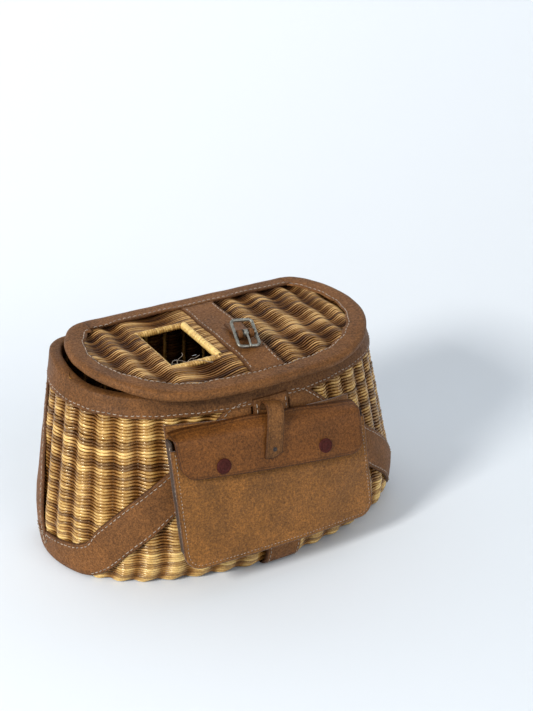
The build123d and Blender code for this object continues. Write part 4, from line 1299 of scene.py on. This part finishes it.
class CREEL_OT_flap(Step, Operator):
    """Hang the pocket's flap from the basket and set its snap caps"""
    bl_idname = "creel.flap"
    bl_label = "Pocket flap"

    def build(self, context):
        top = 2.6

        def place(u, v, w):
            across = FLAP_HALF_WIDTH * (2 * u - 1)
            low = -FLAP_LENGTH - 1.5 - FLAP_DROOP * (2 * u - 1)
            low = low + corner_rise(across, FLAP_HALF_WIDTH, FLAP_CORNER)
            up = low + (top - 5.5 * (2 * u - 1) ** 2 + 0.35 * np.sin(u * 21) - low) * v
            narrow = np.where(u < 0.5, 5.0 * smoothstep(-up / 44) - 1.0, 2.0 * (1 - smoothstep(-up / 24)))
            across = across * (1 - narrow / FLAP_HALF_WIDTH)
            body = wall_depth(FLAP, across, up, 4.9)
            lean = smoothstep((up + 10) / (top + 10))
            face = FLAP_FACE - panel_bow(across) + 2.4 * smoothstep((-up - 22) / 24)
            return FLAP(across, up, face + (body - face) * lean + w)

        flap = leather_sheet("flap_leather", place, 2 * FLAP_HALF_WIDTH, FLAP_LENGTH + top, None,
                             material("flap"), thickness=2.1, step=3.0, wave=0.3, seed=91)
        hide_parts("pocket_flap", "flap_fold")
        start, end = FLAP(np.array([0.0, 0.0]), np.array([top, -7.0]), np.array([8.5, 8.5])) * MM
        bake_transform(flap)
        self.caps()

    def caps(self):
        out = FLAP_FACE + 3.4 - panel_bow(SNAP_X)
        profile = [(0.02, 1.55), (2.6, 1.5), (3.5, 1.2), (4.0, 1.02), (4.5, 1.25), (5.5, 1.35), (6.5, 1.0),
                   (6.95, 0.35), (7.0, -0.1), (6.7, -0.25), (0.02, -0.25)]
        spots = [(-SNAP_X, -SNAP_DROP, out + 0.25), (SNAP_X - 1.0, -SNAP_DROP, out + 0.25)]
        caps = turned("snap_caps", FLAP, spots, profile, "pocket_flap", "cap")
        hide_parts("flap_snap_caps")
        socket = [(0.02, -1.2), (3.3, -1.2), (3.4, -3.6), (4.5, -3.6), (4.6, 0.0), (0.02, 0.0)]
        turned("snap_sockets", FLAP, spots, socket, "pocket_flap", "steel")


class CREEL_OT_closure_strap(Step, Operator):
    """Hang the closure strap from the rim over the pocket's flap"""
    bl_idname = "creel.closure_strap"
    bl_label = "Closure strap"

    def build(self, context):
        path = [(-6, -4.6), (-2.5, -4.5), (-0.2, -3.2), (0.9, -0.6), (0.5, 2.4), (-1.4, 5.4), (-5.5, 7.9),
                (-12, 8.9), (-25, 9.0), (-38, 8.7), (-47, 8.5)]
        fold = Fold(TAB, path, TAB_WIDTH)

        def place(u, v, w):
            clipped = 1 - 0.075 * smoothstep((u - 0.45) / 0.5) * smoothstep((v - 0.6) / 0.4)
            return fold(u, v * clipped, w)

        strap = leather_sheet("closure_leather", place, TAB_WIDTH, fold.length, None, material("tab"),
                              thickness=2.1, step=1.6, wave=0.2, seed=95)
        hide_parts("closure_strap", "closure_strap_root")
        start, end = TAB(np.array([0.0, 0.0]), np.array([0.0, -3.0]), np.array([-4.0, 5.0])) * MM
        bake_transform(strap)
        # painted shade: a near-black disc and ring on the strap stand for the shade inside its punched hole
        rim = [(0.02, 0.1), (1.3, 0.1), (1.45, 0.3), (1.9, 0.3), (2.1, 0.05)]
        turned("closure_hole", TAB, [(0.0, -38.5, 10.85)], rim, "closure_strap",
               "hole_shade", 20)


class CREEL_OT_back_rings(Step, Operator):
    """Finish the strap rings and their loops on the back"""
    bl_idname = "creel.back_rings"
    bl_label = "Back rings"

    def build(self, context):
        for side in ("left", "right"):
            dress(f"{side}_dee_loop", "harness")
            dress(f"{side}_dee_ring", "steel")


# ---- stage ---------------------------------------------------------------------------------------------
class CREEL_OT_stage(Step, Operator):
    """Set the floor, the backdrop, the lights and the camera"""
    bl_idname = "creel.stage"
    bl_label = "Stage"

    def build(self, context):
        scene = context.scene
        scene.view_settings.view_transform = "Standard"
        self.backdrop(scene.creel_stage)
        self.world(scene)
        self.lamp("key", (-2.2, -0.75, 1.45), 0.55, 62.0, (1.0, 0.98, 0.95))
        self.lamp("fill", (0.4, -2.1, 1.6), 1.8, 17.0, (0.96, 0.98, 1.0))
        self.camera(scene)

    def backdrop(self, stage):
        """A sweep of paper: flat floor that curves up behind the creel."""
        run = np.linspace(0, math.pi / 2, 12)
        behind, radius = 700.0, 500.0
        profile = [(-4000.0, 0.0), (behind - radius, 0.0)]
        profile += [(behind - radius * (1 - math.sin(a)), radius * (1 - math.cos(a))) for a in run[1:]]
        profile.append((behind, 4000.0))
        azimuth = math.radians(stage.azimuth)
        ahead = np.array([-math.sin(azimuth), math.cos(azimuth), 0])
        across = np.array([math.cos(azimuth), math.sin(azimuth), 0])
        wide = np.linspace(-4000, 4000, 3)
        points = np.array([[ahead * y + across * x + (0, 0, z) for x in wide] for y, z in profile])
        index = np.arange(points[..., 0].size).reshape(points.shape[:2])
        material_, tree, where, surface = fresh_material("paper")
        tint = noise(tree, where, 1.3, 2)
        tinted = ramp(tree, tint, [(0.3, scaled(stage.floor, 0.985)), (0.7, stage.floor)])
        tree.links.new(tinted, surface.inputs["Base Color"])
        surface.inputs["Roughness"].default_value = 0.9
        surface.inputs["Specular IOR Level"].default_value = 0.1
        floor = new_piece("paper_sweep", points.reshape(-1, 3), grid_faces(index), None, material_)

    def world(self, scene):
        world = bpy.data.worlds.new("soft room")
        world.use_nodes = True
        background = world.node_tree.nodes["Background"]
        background.inputs["Color"].default_value = (0.93, 0.96, 1.0, 1.0)
        background.inputs["Strength"].default_value = 0.42
        scene.world = world

    def lamp(self, name, place, size, power, colour):
        lamp = bpy.data.lights.new(name, "AREA")
        lamp.shape = "SQUARE"
        lamp.size = size
        lamp.energy = power
        lamp.color = colour
        holder = bpy.data.objects.new(name, lamp)
        holder.location = place
        aim = Vector((0.0, 0.0, 0.12)) - Vector(place)
        holder.rotation_euler = aim.to_track_quat("-Z", "Y").to_euler()
        bpy.context.scene.collection.objects.link(holder)

    def camera(self, scene):
        """The camera looks at the creel from its left front, a little from above."""
        stage = scene.creel_stage
        azimuth, elevation = math.radians(stage.azimuth), math.radians(stage.elevation)
        target = Vector((0.05267, 0.01383, 0.14955))
        back = Vector((math.sin(azimuth) * math.cos(elevation), -math.cos(azimuth) * math.cos(elevation),
                       math.sin(elevation)))
        lens = bpy.data.cameras.new("camera")
        lens.sensor_fit = "HORIZONTAL"
        lens.sensor_width = 36.0
        focal_pixels, frame_pixels = 1387.2, 533
        lens.lens = lens.sensor_width * focal_pixels / frame_pixels
        lens.clip_start = 0.05
        holder = bpy.data.objects.new("camera", lens)
        holder.location = target + back * stage.distance
        holder.rotation_euler = (-back).to_track_quat("-Z", "Y").to_euler()
        scene.collection.objects.link(holder)
        scene.camera = holder


# ---- panel and registration ------------------------------------------------------------------------------
OPERATORS = (CREEL_OT_wall, CREEL_OT_lid_weave, CREEL_OT_fish_hole, CREEL_OT_rim, CREEL_OT_lid_binding,
             CREEL_OT_harness, CREEL_OT_lid_strap, CREEL_OT_pocket, CREEL_OT_flap, CREEL_OT_closure_strap,
             CREEL_OT_back_rings, CREEL_OT_stage)
GROUPS = {"creel_weave": CreelWeave, "creel_leather": CreelLeather, "creel_colours": CreelColours,
          "creel_stage": CreelStage}


class CREEL_PT_sidebar(Panel):
    """Sizes and colours of the creel, and a button for each group of pieces"""
    bl_idname = "CREEL_PT_sidebar"
    bl_label = "Wicker creel"
    bl_space_type = "VIEW_3D"
    bl_region_type = "UI"
    bl_category = "Creel"

    def draw(self, context):
        for name, group in GROUPS.items():
            box = self.layout.box()
            for key in group.__annotations__:
                box.prop(getattr(context.scene, name), key)
        for operator in OPERATORS:
            self.layout.operator(operator.bl_idname)


CLASSES = (*GROUPS.values(), *OPERATORS, CREEL_PT_sidebar)


def register():
    for cls in CLASSES:
        bpy.utils.register_class(cls)
    for name, group in GROUPS.items():
        setattr(bpy.types.Scene, name, PointerProperty(type=group))


def unregister():
    for name in GROUPS:
        delattr(bpy.types.Scene, name)
    for cls in reversed(CLASSES):
        bpy.utils.unregister_class(cls)


def main():
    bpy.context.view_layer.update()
    register()
    for operator in OPERATORS:
        getattr(bpy.ops.creel, operator.bl_idname.split(".")[1])()


if __name__ == "__main__":
    main()
